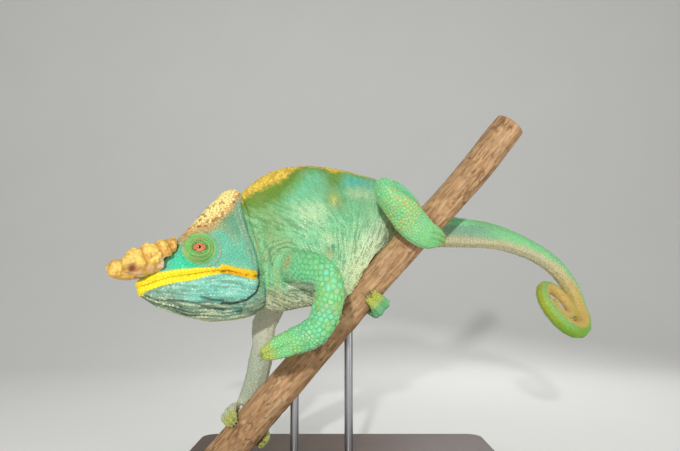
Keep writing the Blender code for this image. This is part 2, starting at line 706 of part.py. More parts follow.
def make_rod(number, x, branch_cutter):
    """An upright rod from the base into the branch's underside, and the collar at its foot."""
    centre, _, radius = branch_at(x)
    low, top = BASE_HEIGHT + GAP, centre[2] - 0.4 * radius
    rod = turned(f"stand_rod_{number}", x, ((low, ROD_RADIUS), (top, ROD_RADIUS)))
    subtract(rod, branch_cutter)
    collar_top = low + COLLAR_HEIGHT
    collar = turned(f"stand_collar_{number}", x, ((low, COLLAR_RADIUS), (collar_top, COLLAR_RADIUS - 1)))
    hole_radius = ROD_RADIUS + GAP
    hole_ends = ((low - COLLAR_HEIGHT, hole_radius), (collar_top + COLLAR_HEIGHT, hole_radius))
    subtract(collar, guide(turned(f"guide_collar_{number}", x, hole_ends)))


def turned(name, x, profile, count=12):
    """An upright turned piece over the stand's long middle line."""
    c, s = power_circle(count)
    rings = [np.column_stack([x + radius * c, radius * s, np.full(count, height)])
             for height, radius in profile]
    return loft(name, rings, "stand_steel")


# ---------------------------------------------------------------- the whole model
def main():
    for obj in list(bpy.data.objects):
        bpy.data.objects.remove(obj)
    cutters = {}
    make_branch(cutters)
    make_stand(cutters)
    make_head(cutters)
    make_body(cutters)
    make_limbs(cutters)
    make_feet(cutters)


main()
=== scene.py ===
"""Looks of a life-size Parson's chameleon on its branch and stand.

Laid out as a Blender add-on and run as a script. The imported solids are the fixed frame. One skin
replaces the nodes of flesh, and every scale is a closed tile set on it. Positions inside the
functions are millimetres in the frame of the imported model. The animal faces -X.
"""

import math

import bpy
import numpy as np
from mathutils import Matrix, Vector
from mathutils.bvhtree import BVHTree
from mathutils.kdtree import KDTree


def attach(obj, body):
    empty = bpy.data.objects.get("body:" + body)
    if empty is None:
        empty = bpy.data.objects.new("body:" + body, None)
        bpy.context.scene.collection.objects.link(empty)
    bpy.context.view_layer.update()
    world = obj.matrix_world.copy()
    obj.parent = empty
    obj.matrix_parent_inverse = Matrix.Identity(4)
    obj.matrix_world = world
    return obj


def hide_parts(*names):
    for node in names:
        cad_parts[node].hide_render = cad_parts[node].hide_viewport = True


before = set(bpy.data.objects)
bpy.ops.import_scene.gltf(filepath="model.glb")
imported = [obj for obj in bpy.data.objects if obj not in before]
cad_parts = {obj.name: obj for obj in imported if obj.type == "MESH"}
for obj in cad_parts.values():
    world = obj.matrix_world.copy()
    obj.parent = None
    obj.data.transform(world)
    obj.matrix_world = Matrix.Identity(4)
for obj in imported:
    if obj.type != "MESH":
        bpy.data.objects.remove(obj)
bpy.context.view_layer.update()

bl_info = {
    "name": "Parson's Chameleon Finish",
    "version": (1, 0, 0),
    "blender": (4, 5, 0),
    "location": "View3D > Sidebar > Chameleon",
    "description": "Skin, scales, horns, eyes, claws, branch, stand and studio for the chameleon model",
    "category": "Object",
}

MM = 0.001
UP = np.array([0.0, 0.0, 1.0])
SEED = 7

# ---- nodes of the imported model
# The sides, with the sign of a place across the head.
SIDES = {"left": 1, "right": -1}
HEAD_NODES = ("head", "lower_jaw", "eye_turret_left", "eye_turret_right")
BODY_NODES = ("neck", "trunk", "hips")
TAIL_NODES = ("tail_base", "tail_middle", "tail_curl_outer", "tail_curl_inner")
ARM_PARTS = ("upper_arm", "forearm", "hand")
LEG_PARTS = ("thigh", "shank", "foot")
LIMB_NODES = tuple(part + "_" + side for side in SIDES for part in ARM_PARTS + LEG_PARTS)
TOE_NODES = tuple(f"toes_{end}_{side}_{row}" for end in ("front", "hind")
                  for side in SIDES for row in ("outer", "inner"))
FLESH = HEAD_NODES + BODY_NODES + TAIL_NODES + LIMB_NODES + TOE_NODES
REGION = {name: number for number, name in enumerate(FLESH)}
LIMB_OF = {f"{limb}_{side}": (*(f"{part}_{side}" for part in parts),
                              f"toes_{end}_{side}_outer", f"toes_{end}_{side}_inner")
           for limb, end, parts in (("fore", "front", ARM_PARTS), ("hind", "hind", LEG_PARTS))
           for side in SIDES}

# ---- places on the animal
HEAD_PIVOT = np.array([-78.0, -27.0, 0.0])
HEAD_YAW = math.radians(30.0)
TRUNK_YAW = math.radians(22.4)
HEAD_FORWARD = np.array([-math.cos(HEAD_YAW), -math.sin(HEAD_YAW), 0.0])
HEAD_LEFT = np.array([math.sin(HEAD_YAW), -math.cos(HEAD_YAW), 0.0])
TRUNK_REAR = np.array([math.cos(TRUNK_YAW), math.sin(TRUNK_YAW), 0.0])
TRUNK_LEFT = np.array([math.sin(TRUNK_YAW), -math.cos(TRUNK_YAW), 0.0])
TRUNK_AXES = np.stack([TRUNK_REAR, TRUNK_LEFT, UP])

EYE_FORWARD, EYE_SIDE, EYE_HEIGHT = 55.2, 11.5, 201.0
EYE_TURN, EYE_LIFT = math.radians(18.0), 0.14
EYEBALL_OUT, EYEBALL_RADIUS = 8.4, 5.9
LID_OPENING, LID_START, LID_PITCH, LID_SQUEEZE = 5.2, 5.4, 2.2, 0.34

# Side view of the head: forward, height.
MOUTH_LINE = ((-4, 178.6), (7, 179), (20, 180.5), (32, 183.5), (44, 184), (56, 182), (80, 178),
              (103.5, 170))
LIP_TOP = ((6, 184), (23, 186.2), (32, 188.2), (38.5, 190), (41, 186.8), (63, 186), (81, 184), (93, 181.3),
           (103, 175))
LIP_BOTTOM = ((6, 175.2), (12, 177), (24, 179.6), (36, 182), (44, 181), (52, 179), (63, 175.8), (76, 174),
              (87, 171), (96, 167.5), (103, 158))
THROAT_LINE = ((-8.3, 151.3), (5.4, 143.8), (34.5, 139.8), (62, 143), (76, 149), (89, 154), (97, 159.6),
               (104, 166))
CREST_LINE = ((14, 256), (20.1, 249), (27.2, 240.3), (32.5, 233.2), (40.3, 226), (49.8, 220), (59.5, 217.2),
              (75, 207))
JAW_FOLD = ((37, 156.6), (28, 156.2), (17.2, 158.8), (8.9, 165.4), (4.8, 174.7), (5.3, 183))
CHEEK_FOLD = ((55, 162.5), (46.5, 159.6), (37.5, 159.2))
CHIN_FOLD = ((80, 159.5), (68, 158.5), (57, 156.5), (46, 152.5), (34, 151.0))
HEAD_REAR = ((5.3, 183), (8.2, 197), (14.7, 215.7), (18.4, 232), (19.5, 244))

# Rear edge of the head by height: height, forward.
REAR_EDGE = ((139, 20), (158.8, 17.2), (165.4, 8.9), (174.7, 4.8), (183, 5.3), (197, 8.2), (215.7, 14.7),
             (232, 18.4), (244, 19.5), (258, 15))

# Side view of the trunk: rearward place, height.
BACK_LINE = ((-16, 254), (-4, 265.6), (10, 275.5), (28, 282.4), (50, 285.6), (68, 285.4), (82, 284.4),
             (94, 282.6), (104, 280.8), (112, 279.2), (121, 276.8), (149, 265.6), (169, 254.2))
# The same, with how far down from that line the yellow and the olive reach.
YELLOW_DEPTH = ((-16, 9), (-4, 10), (12, 14.5), (23, 11.5), (31, 7), (38, 3), (52, 1.8), (62, 2.5),
                (68, 5), (76, 5), (84, 2.4), (105, 1.5), (140, 0.8), (170, 0.0))
OLIVE_DEPTH = ((-16, 18), (-8, 21), (3, 27), (16, 27), (25, 21), (36, 11), (44, 6), (60, 6), (68, 10),
               (74, 13), (81, 8), (88, 4), (120, 3), (170, 1))

# Middle lines of the limbs and the tail, root first.
LIMB_PATHS = {
    "fore_left": ((-58, -20, 190), (-28, -60, 186.5), (-10, -75, 168), (-16, -71, 141), (-28, -67, 130.5),
                  (-45, -66, 123), (-66, -66, 115)),
    "fore_right": ((-60, -4, 186), (-67.5, 18, 150), (-76.5, 22, 116), (-83.5, 24, 80), (-93.5, 19.5, 56)),
    "hind_left": ((68, 18, 244), (46, -20, 256), (37.6, -34.5, 255.8), (53.5, -40.5, 237), (71, -30, 221),
                  (95.5, -7, 213.4)),
    "hind_right": ((58, 34, 232), (34, 60, 214), (15, 57, 191), (14, 34, 175)),
}
TAIL_PATH = ((60, 30, 236), (75.5, 36.3, 233.4), (88, 41.4, 231.4), (102, 44, 228), (121, 43, 226),
             (144, 44, 224), (165, 43, 219.5), (183, 41, 212), (199, 38.5, 203.5), (213, 35.5, 192),
             (223, 32.5, 178.5), (230, 29.5, 163.5))
CURL_CENTRE = np.array([207.8, 7.4, 153.6])
CURL_LONG = np.array([0.740, 0.110, -0.664])
CURL_ACROSS = np.array([0.380, 0.757, 0.532])
CURL_START = math.radians(46.0)
CURL_TURNS, CURL_RADIUS, CURL_CLOSING, CURL_STRETCH = 1.75, 28.3, 14.3, 1.14

# Branch axis in the plane y = 0: x, height, radius.
BRANCH_AXIS = ((-125, -2, 17.0), (-105, 21, 16.8), (-54, 79.5, 16.2), (-20, 118.5, 15.8), (18, 162.5, 15.4),
               (58, 206.8, 15.3), (94, 244.5, 14.6), (128, 282.5, 15.4), (163, 327, 15.0))


# ---- numbers
def unit(v):
    v = np.asarray(v, float)
    return v / np.maximum(np.linalg.norm(v, axis=-1, keepdims=True), 1e-12)


def ease(x, low, high):
    """0 below low, 1 above high, smooth between."""
    t = np.clip((x - low) / (high - low), 0.0, 1.0)
    return t * t * (3 - 2 * t)


def fade(x, low, high):
    """1 below low, 0 above high, smooth between."""
    return 1 - ease(x, low, high)


def wave(x, pitch):
    """Ridges one pitch apart, from -1 in their gaps to 1 on their tops."""
    return np.sin(2 * math.pi * x / pitch)


def line_at(line, x):
    """Second value of a line of pairs where its first value is x."""
    rows = np.array(line, float)
    return np.interp(x, rows[:, 0], rows[:, 1])


def groove(distance, width):
    """1 where the distance is 0, falling off as a bell."""
    return np.exp(-(distance / width) ** 2)


def oval(x, y, centre, reach):
    """1 inside an oval, falling to 0 a little outside it."""
    distance = np.hypot((x - centre[0]) / reach[0], (y - centre[1]) / reach[1])
    return fade(distance, 0.55, 1.25)


def cloud(x, y, centre, reach):
    """1 in an oval's middle, falling off softly all the way."""
    return np.exp(-1.3 * (((x - centre[0]) / reach[0]) ** 2 + ((y - centre[1]) / reach[1]) ** 2))


def dot_distance(x, y, spacing, seed):
    """Distance to the nearest of many dots, about `spacing` apart and a little out of line."""
    nearest = np.full(len(x), 99.0)
    row, column = np.floor(y / spacing), np.floor(x / spacing)
    for down in (-1, 0, 1):
        for right in (-1, 0, 1):
            i, j = row + down, column + right
            shift = np.sin(np.stack([i * 12.9898 + j * 78.233, i * 39.346 + j * 11.135]) + seed) * 43758.5453
            shift = (shift - np.floor(shift)) * 0.7
            distance = np.hypot(x - (j + 0.15 + shift[0]) * spacing, y - (i + 0.15 + shift[1]) * spacing)
            nearest = np.minimum(nearest, distance)
    return nearest


def path_place(points, path):
    """Nearest place on a path: distance along it, the path point there, and the distance to it."""
    path = np.asarray(path, float)
    best = np.full(len(points), np.inf)
    along = np.zeros(len(points))
    foot = np.zeros((len(points), path.shape[1]))
    travelled = 0.0
    for a, b in zip(path[:-1], path[1:]):
        span = b - a
        length = np.linalg.norm(span)
        share = np.clip((points - a) @ span / length ** 2, 0.0, 1.0)
        place = a + share[:, None] * span
        distance = np.linalg.norm(points - place, axis=1)
        nearer = distance < best
        best[nearer] = distance[nearer]
        along[nearer] = travelled + share[nearer] * length
        foot[nearer] = place[nearer]
        travelled += length
    return along, foot, best


def lattice_noise(points, size, seed=0):
    """Smooth noise from 0 to 1 that changes over about `size`."""
    q = np.asarray(points, float) / size + 1000.0
    corner = np.floor(q).astype(np.int64)
    f = q - corner
    f = f * f * (3 - 2 * f)
    total = np.zeros(len(q))
    for dx in (0, 1):
        for dy in (0, 1):
            for dz in (0, 1):
                x, y, z = (corner + (dx, dy, dz)).T
                mixed = (x * 73856093) ^ (y * 19349663) ^ (z * 83492791) ^ (seed * 2654435761)
                mixed = (mixed ^ (mixed >> 13)) * 1274126177
                value = ((mixed ^ (mixed >> 16)) & 0xFFFF) / 65535.0
                weight = np.where(dx, f[:, 0], 1 - f[:, 0]) * np.where(dy, f[:, 1], 1 - f[:, 1])
                total += value * weight * np.where(dz, f[:, 2], 1 - f[:, 2])
    return total


def blotches(points, size, seed, low, high):
    """Patches of smooth noise: 0 where it is under low, 1 where it is over high."""
    return ease(lattice_noise(points, size, seed), low, high)


def streaks(across, along, width, length, seed):
    """Noise from -1 to 1 drawn out into long wavy lines."""
    level = across * 0
    wander = lattice_noise(np.column_stack([along / (1.6 * length), across / 20, level]), 1.0, seed)
    wavy = across / width + 0.9 * wander
    value = 0.0
    for share, fineness in ((0.62, 1.0), (0.38, 2.1)):
        flat = np.column_stack([wavy * fineness, along * fineness / length, level + 3.7])
        value = value + share * (lattice_noise(flat, 1.0, seed + 1) * 2 - 1)
    return value


def flank_lines(p):
    """Wrinkles of the flank: they fan upwards from the belly and lean forwards higher up."""
    u, _, z = trunk_place(p)
    fans = []
    for (middle, low), seed in (((72, 150), 61), ((114, 184), 69)):
        reach = np.hypot(u - middle, z - low)
        lines = streaks(np.arctan2(u - middle, z - low) * 75.0, reach, 1.0, 7.0, seed)
        fans.append(lines * ease(reach, 8, 30))
    high = ease(z + 0.25 * (60 - u), 206, 232) * fade(u, 72, 96)
    return fans[0] * (1 - high) + fans[1] * high


def neck_lines(p):
    """Upright creases of the neck and the shoulder's front."""
    u, _, z = trunk_place(p)
    return streaks(u + 0.16 * z, z, 1.35, 15.0, 63)


def chest_lines(p):
    """Level wrinkles of the breast, dipping to the front."""
    u, w, z = trunk_place(p)
    return streaks(z + 0.42 * u, u + 0.6 * w, 1.1, 11.0, 65)


def jaw_lines(p):
    """Folds under the jaw, that run along it from the chin and widen to the rear."""
    s, t, z = head_place(p)
    mouth, throat = line_at(MOUTH_LINE, s), line_at(THROAT_LINE, s)
    level = np.clip((z - throat) / (mouth - throat), -0.4, 1.6)
    depth = np.where(level < 0.05, 0.35 * (23 - np.abs(t)) / 23, 0.0)
    return level, streaks((level - depth) * 34.0 + 0.5 * ease(s, 20, 70), s, 1.0, 16.0, 67)


def srgb(red, green, blue):
    """A colour of 0 to 255 parts as linear light."""
    parts = np.array([red, green, blue]) / 255.0
    return tuple(np.where(parts <= 0.04045, parts / 12.92, ((parts + 0.055) / 1.055) ** 2.4).tolist())


# ---- frames of the body
def head_place(p):
    """Points in the head's own frame: forward, to its left, height."""
    q = p - HEAD_PIVOT
    return q @ HEAD_FORWARD, q @ HEAD_LEFT, p[:, 2]


def trunk_place(p):
    """Points in the trunk's own frame: rearward, to its left, height."""
    q = p - HEAD_PIVOT
    return q @ TRUNK_REAR, q @ TRUNK_LEFT, p[:, 2]


def head_point(forward, left, height):
    return HEAD_PIVOT + forward * HEAD_FORWARD + left * HEAD_LEFT + height * UP


def eye_axis(side):
    return unit(math.sin(EYE_TURN) * HEAD_FORWARD + side * math.cos(EYE_TURN) * HEAD_LEFT + EYE_LIFT * UP)


def eye_centre(side):
    return head_point(EYE_FORWARD, side * EYE_SIDE, EYE_HEIGHT)


def round_axis(axis, helper=UP):
    """A level and a lifted direction at right angles to an axis and to each other."""
    level = unit(np.cross(axis, helper))
    return level, np.cross(level, axis)


def lid_squeeze(radius):
    """How many times wider than tall a circle of the eyelid is."""
    return 1.0 + LID_SQUEEZE * fade(radius, 4.5, 11.0)


def lid_waves(across):
    """The rings of the eyelid, from -1 in their gaps to 1 on their tops."""
    return wave(across - LID_START, LID_PITCH)


def eye_place(p):
    """Distance from the nearer eye's axis, squeezed near the lids, and how far out along the axis."""
    _, left, _ = head_place(p)
    across = np.full(len(p), 99.0)
    out = np.full(len(p), -99.0)
    for side in SIDES.values():
        q = p - eye_centre(side)
        axis = eye_axis(side)
        level_way, lift_way = round_axis(axis)
        mine = left * side > 0
        level, lift = q @ level_way, q @ lift_way
        squeezed = np.hypot(level * 0.97, lift * lid_squeeze(np.hypot(level, lift)))
        across[mine] = squeezed[mine]
        out[mine] = (q @ axis)[mine]
    return across, out


def curl_points():
    """Middle line of the tail's coil, from its start inwards."""
    turns = np.arange(0, int(CURL_TURNS * 24) + 1) / 24
    angle = CURL_START - turns * 2 * math.pi
    radius = CURL_RADIUS - CURL_CLOSING * turns
    return (CURL_CENTRE + (CURL_STRETCH * radius * np.cos(angle))[:, None] * unit(CURL_LONG)
            + (radius * np.sin(angle))[:, None] * unit(CURL_ACROSS))


def tail_place(p):
    """Distance along the tail, and 1 on its upper or outer side to -1 on its lower or inner side."""
    along, foot, _ = path_place(p, np.vstack([TAIL_PATH, curl_points()]))
    curled = ease(foot[:, 0], 140.0, 205.0)[:, None]
    upper = unit((1 - curled) * UP + curled * unit(foot - CURL_CENTRE))
    upper = np.where(along[:, None] > 230.0, unit(foot - CURL_CENTRE), upper)
    return along, np.sum(unit(p - foot) * upper, axis=1)


# ---- meshes
def make_object(name, points, loops, totals):
    """A mesh object from millimetre points and its faces' corners, listed one face after another."""
    mesh = bpy.data.meshes.new(name)
    mesh.vertices.add(len(points))
    mesh.vertices.foreach_set("co", (np.asarray(points, np.float64) * MM).astype(np.float32).ravel())
    mesh.loops.add(len(loops))
    mesh.loops.foreach_set("vertex_index", np.asarray(loops, np.int32))
    mesh.polygons.add(len(totals))
    starts = np.concatenate([[0], np.cumsum(totals)[:-1]]).astype(np.int32)
    mesh.polygons.foreach_set("loop_start", starts)
    smooth_faces(mesh)
    mesh.update(calc_edges=True)
    mesh.validate()
    obj = bpy.data.objects.new(name, mesh)
    bpy.context.scene.collection.objects.link(obj)
    return obj


def read(items, field, width, kind):
    """One field of all the items of a mesh's list, as rows."""
    flat = np.empty(len(items) * width, kind)
    items.foreach_get(field, flat)
    return flat.reshape(-1, width)


def points_of(mesh):
    return read(mesh.vertices, "co", 3, np.float32).astype(float) / MM


def set_points(mesh, points):
    mesh.vertices.foreach_set("co", (points * MM).astype(np.float32).ravel())
    mesh.update()


def normals_of(mesh):
    return read(mesh.vertex_normals, "vector", 3, np.float32).astype(float)


def edges_of(mesh):
    return read(mesh.edges, "vertices", 2, np.int32)


def triangles_of(mesh):
    mesh.calc_loop_triangles()
    return read(mesh.loop_triangles, "vertices", 3, np.int32)


def smooth_faces(mesh):
    mesh.polygons.foreach_set("use_smooth", np.ones(len(mesh.polygons), bool))


def ring_faces(rings, ways, first=0):
    """Quads between rings of points that are numbered one ring after another."""
    faces = []
    for ring in range(rings - 1):
        for k in range(ways):
            a, b = first + ring * ways + k, first + ring * ways + (k + 1) % ways
            faces.append([a, b, b + ways, a + ways])
    return faces


def tube_faces(rings, ways, first=0):
    """The quads of a tube of rings, with a flat face at either end."""
    return [*ring_faces(rings, ways, first), [first + k for k in range(ways - 1, -1, -1)],
            [first + (rings - 1) * ways + k for k in range(ways)]]


def mesh_of(name, points, faces):
    """A mesh object from millimetre points and a list of faces."""
    return make_object(name, points, [i for face in faces for i in face], [len(face) for face in faces])


def circle(ways):
    """Cosines and sines of equal steps round a circle."""
    angle = 2 * math.pi * np.arange(ways) / ways
    return np.cos(angle), np.sin(angle)


def distances_along(path):
    """How far along a path each of its points lies."""
    return np.concatenate([[0], np.cumsum(np.linalg.norm(np.diff(path, axis=0), axis=1))])


def point_tree(points):
    tree = KDTree(len(points))
    for i, point in enumerate(points.tolist()):
        tree.insert(point, i)
    tree.balance()
    return tree


def applied(obj):
    """Replaces an object's mesh by what its modifiers make of it."""
    depsgraph = bpy.context.evaluated_depsgraph_get()
    made = bpy.data.meshes.new_from_object(obj.evaluated_get(depsgraph))
    obj.modifiers.clear()
    old = obj.data
    obj.data = made
    bpy.data.meshes.remove(old)


def neighbour_mean(values, edges, counts):
    """Mean of each vertex's neighbours."""
    a, b = edges.T
    total = np.empty_like(values)
    for k in range(values.shape[1]):
        total[:, k] = np.bincount(a, values[b, k], len(values)) + np.bincount(b, values[a, k], len(values))
    return total / counts[:, None]


def neighbour_counts(edges, number):
    return np.maximum(np.bincount(edges.ravel(), minlength=number), 1)


def smoothed(points, edges, rounds):
    """Takes facets off and keeps the volume: each round shrinks a little, then grows a little more."""
    counts = neighbour_counts(edges, len(points))
    for _ in range(rounds):
        for share in (0.5, -0.53):
            points = points + share * (neighbour_mean(points, edges, counts) - points)
    return points


SAME_PLACE = 0.002


def grown_solids(name, nodes, growth):
    """Copies of CAD nodes in one object, each grown a little so that neighbours overlap."""
    all_points, all_faces, first = [], [], 0
    for node in nodes:
        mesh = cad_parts[node].data
        raw, faces = points_of(mesh), triangles_of(mesh)
        _, keep, index = np.unique(np.round(raw / SAME_PLACE).astype(np.int64), axis=0,
                                   return_index=True, return_inverse=True)
        points, faces = raw[keep], index.ravel()[faces]
        faces = faces[np.all(faces != np.roll(faces, 1, axis=1), axis=1)]
        a, b, c = points[faces].transpose(1, 0, 2)
        face_normal = np.cross(b - a, c - a)
        normal = np.zeros_like(points)
        for corner in range(3):
            for k in range(3):
                normal[:, k] += np.bincount(faces[:, corner], face_normal[:, k], len(points))
        all_points.append(points + growth * unit(normal))
        all_faces.append(faces + first)
        first += len(points)
    points, faces = np.vstack(all_points), np.vstack(all_faces)
    return make_object(name, points, faces.ravel(), np.full(len(faces), 3))


def remeshed(obj, size):
    modifier = obj.modifiers.new("one_surface", "REMESH")
    modifier.mode = "VOXEL"
    modifier.voxel_size = size * MM
    applied(obj)


def node_tree(nodes):
    """A search tree over CAD nodes' triangles, and the node number of each triangle."""
    all_points, all_faces, owner, first = [], [], [], 0
    for node in nodes:
        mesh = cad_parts[node].data
        points, faces = points_of(mesh), triangles_of(mesh)
        all_points.append(points)
        all_faces.append(faces + first)
        owner.append(np.full(len(faces), nodes.index(node)))
        first += len(points)
    tree = BVHTree.FromPolygons(np.vstack(all_points).tolist(), np.vstack(all_faces).tolist())
    return tree, np.concatenate(owner)


def regions_at(points, tree, owner):
    """The CAD node nearest to each point."""
    return np.array([owner[tree.find_nearest(p)[2]] for p in points.tolist()])


def in_nodes(region, nodes):
    """Which points belong to any of these nodes."""
    return np.isin(region, [REGION[name] for name in nodes])


def store_colour(mesh, name, colours):
    attribute = mesh.color_attributes.new(name=name, type="FLOAT_COLOR", domain="POINT")
    rgba = np.ones((len(colours), 4), np.float32)
    rgba[:, :3] = colours
    attribute.data.foreach_set("color", rgba.ravel())


def store_value(mesh, name, values):
    attribute = mesh.attributes.new(name, "FLOAT", "POINT")
    attribute.data.foreach_set("value", np.asarray(values, np.float32))


def finish_piece(obj, material, nodes=()):
    """Puts a piece on the model's one body, its material and the nodes it stands for."""
    obj.data.materials.clear()
    obj.data.materials.append(material)
    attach(obj, "root")
    if nodes:
        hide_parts(*nodes)


# ---- folds and ridges of the flesh
def behind_head(s, z):
    """1 on neck skin behind the rear fold of the head, 0 on the head."""
    return ease(line_at(REAR_EDGE, z) - s, -0.4, 1.2)


def fold_distances(p):
    """Distances to the folds of jaw, cheek, chin and head's rear and to the crest, seen from the side."""
    s, _, z = head_place(p)
    flat = np.column_stack([s, z])
    lines = (JAW_FOLD, CHEEK_FOLD, CHIN_FOLD, HEAD_REAR, CREST_LINE)
    return [path_place(flat, line)[2] for line in lines]


def head_relief(p):
    """Lips, loose jaw skin, folds, crest, turret and lid rings."""
    s, t, z = head_place(p)
    side = ease(np.abs(t), 5, 12)
    mouth = line_at(MOUTH_LINE, s)
    closed = ease(s, 3, 9)
    rise = -0.3 * groove(z - mouth, 0.6) * closed * ease(s, 34, 46)
    upper = np.clip((z - mouth) / (line_at(LIP_TOP, s) - mouth), 0, 1)
    lower = np.clip((mouth - z) / (mouth - line_at(LIP_BOTTOM, s) + 0.01), 0, 1)
    parted = closed * (0.35 + 0.65 * ease(s, 30, 44))
    rise += (0.9 * np.sin(math.pi * upper) + 0.7 * np.sin(math.pi * lower)) * parted
    level, lines = jaw_lines(p)
    loose = ease(level, -0.35, -0.1) * fade(level, 0.34, 0.56) * fade(s, 88, 100)
    rise += lines * (0.6 * loose + 0.26 * (level < 0.86) * fade(s, 76, 96))
    rise += 2.0 * side * oval(s, z, (29, 169), (30, 13))
    jaw, cheek, chin, rear, crest = fold_distances(p)
    rise -= side * (2.6 * groove(jaw, 1.4) + 1.3 * groove(cheek, 1.1) + 1.3 * groove(chin, 1.1))
    rise -= side * (2.0 - 1.3 * ease(z, 176, 190)) * groove(rear, 1.5)
    rise += 0.5 * side * groove(rear - 4.0, 1.6) * ease(z, 184, 196)
    rise -= 0.8 * side * behind_head(s, z)
    below = ease(line_at(CREST_LINE, s) - z, 1, 5)
    rise += 1.1 * side * groove(crest, 2.6) - 0.7 * side * groove(crest - 6, 3.0) * below
    across, out = eye_place(p)
    rise += (0.6 * groove(across - 16.2, 1.5) - 1.0 * groove(across - 14.4, 0.9)) * ease(out, -9, -5)
    lid = (out > 0) & (across < 13)
    rise += 0.3 * lid_waves(across) * ease(across, LID_OPENING, 6.4) * lid
    rise += (0.35 * groove(across - 5.5, 0.9) - 2.4 * fade(across, 4.3, 4.9)) * lid
    return rise


def shoulder_arcs(u, z):
    """Crescent folds in front of the shoulder, from -1 to 1."""
    reach = np.hypot(u - 21, z - 190)
    window = ease(reach, 9, 13) * fade(reach, 20, 29)
    window = window * ease(z - 0.6 * (21 - u), 170, 186) * fade(u, 22, 36)
    return wave(reach, 3.9) * window


def trunk_relief(p):
    """Wrinkles of flank, shoulder, neck and breast."""
    u, w, z = trunk_place(p)
    side = ease(np.abs(w), 6, 14)
    low = fade(z, 212, 256)
    strength = 0.32 + 0.55 * ease(u, 48, 92) * low + 0.22 * low
    rise = strength * flank_lines(p) * side * np.maximum(ease(u, 22, 44), ease(z, 204, 232))
    rise += 0.55 * shoulder_arcs(u, z) * side
    neck = fade(u, 4, 26) * fade(z, 206, 240)
    rise += 0.5 * neck_lines(p) * neck * side
    chest = fade(z, 168, 182) * fade(u, 44, 66)
    rise += 0.8 * chest_lines(p) * chest
    return rise


def tail_relief(p):
    """Close rings all along the tail."""
    along, upper = tail_place(p)
    return (0.1 + 0.16 * ease(-upper, 0.0, 0.7)) * wave(along, 2.8)


def wrist_lines(along):
    """Tight creases across the wrist, from -1 to 1."""
    return wave(along, 2.7) * groove(along - 125, 9.0)


def limb_relief(p, name):
    """Creases of the wrist, the elbow and the knee."""
    along, _, _ = path_place(p, LIMB_PATHS[name])
    if name == "fore_left":
        return 0.38 * wrist_lines(along) + 0.25 * wave(along, 3.1) * groove(along - 78, 6.0)
    return 0.22 * wave(along, 3.2) * groove(along - 60, 12.0)


def toe_splits():
    """Each toe bundle's middle, the direction across it, the reach of its furrows and its toes' number."""
    found = {}
    for name, x, _, width, _, toes, drift, _ in GRIPS:
        middle, direction, _ = branch_at(x + drift / 2)
        found[name] = (middle, direction, width, toes)
    across = unit([0.34, 0.0, -0.94])
    found["toes_front_left_outer"] = ((-54.0, -71.0, 120.0), across, 8.0, 2)
    found["toes_front_left_inner"] = ((-54.0, -61.0, 120.0), across, 8.0, 3)
    found["toes_hind_left_outer"] = ((87.0, -16.5, 214.6), (0.05, 0.1, 1.0), 9.0, 3)
    return found


def toe_relief(p, name):
    """Furrows between the toes of a bundle."""
    middle, across, reach, toes = toe_splits()[name]
    place = (p - middle) @ across / reach
    rise = np.zeros(len(p))
    for gap in range(1, toes):
        rise -= 1.7 * groove(place - (2 * gap / toes - 1) * 0.9, 0.12)
    if name == "toes_hind_right_inner":
        rise += 0.35 * np.cos(2 * math.pi * 2.4 * place)
    return rise


def relief(p, region):
    """How far the skin's folds and ridges rise over the flesh, in millimetres."""
    rise = np.zeros(len(p))
    for nodes, shape in ((HEAD_NODES, head_relief), (BODY_NODES, trunk_relief), (TAIL_NODES, tail_relief)):
        mine = in_nodes(region, nodes)
        rise[mine] = shape(p[mine])
    for limb in ("fore_left", "hind_left"):
        mine = in_nodes(region, LIMB_OF[limb][:3])
        rise[mine] = limb_relief(p[mine], limb)
    for name in TOE_NODES:
        mine = in_nodes(region, (name,))
        rise[mine] = toe_relief(p[mine], name)
    return rise


# ---- markings
def blend(base, tint, weight):
    """Moves colours towards another by a share, one for all or one for each."""
    share = np.clip(np.broadcast_to(weight, len(base)), 0, 1)[:, None]
    return base + (np.asarray(tint, float) - base) * share


def washed(base, c, layers):
    """Lays washes over colours in turn: each a colour or its name, and its share."""
    for tint, weight in layers:
        base = blend(base, c[tint] if isinstance(tint, str) else tint, weight)
    return base


def plain(c, name, p):
    """One colour of the palette, once for each point."""
    return np.tile(c[name], (len(p), 1))


# How dark the skin round a scale is, as a share of the scale's colour: painted shade in the gaps between the
# scales.
RIM_SHADE = 0.84


def palette():
    """The colours of the property group, by name, as linear light."""
    group = bpy.context.scene.chameleon_colours
    return {name: np.array(getattr(group, name)[:3]) for name in group.__annotations__}


def warped(u, z, p, amount, seed):
    """Coordinates shaken a little, so that markings end raggedly."""
    broad, fine, lift = (lattice_noise(p, size, seed + k) - 0.5 for k, size in enumerate((5.0, 2.0, 5.0)))
    return u + amount * broad + 0.5 * amount * fine, z + amount * lift


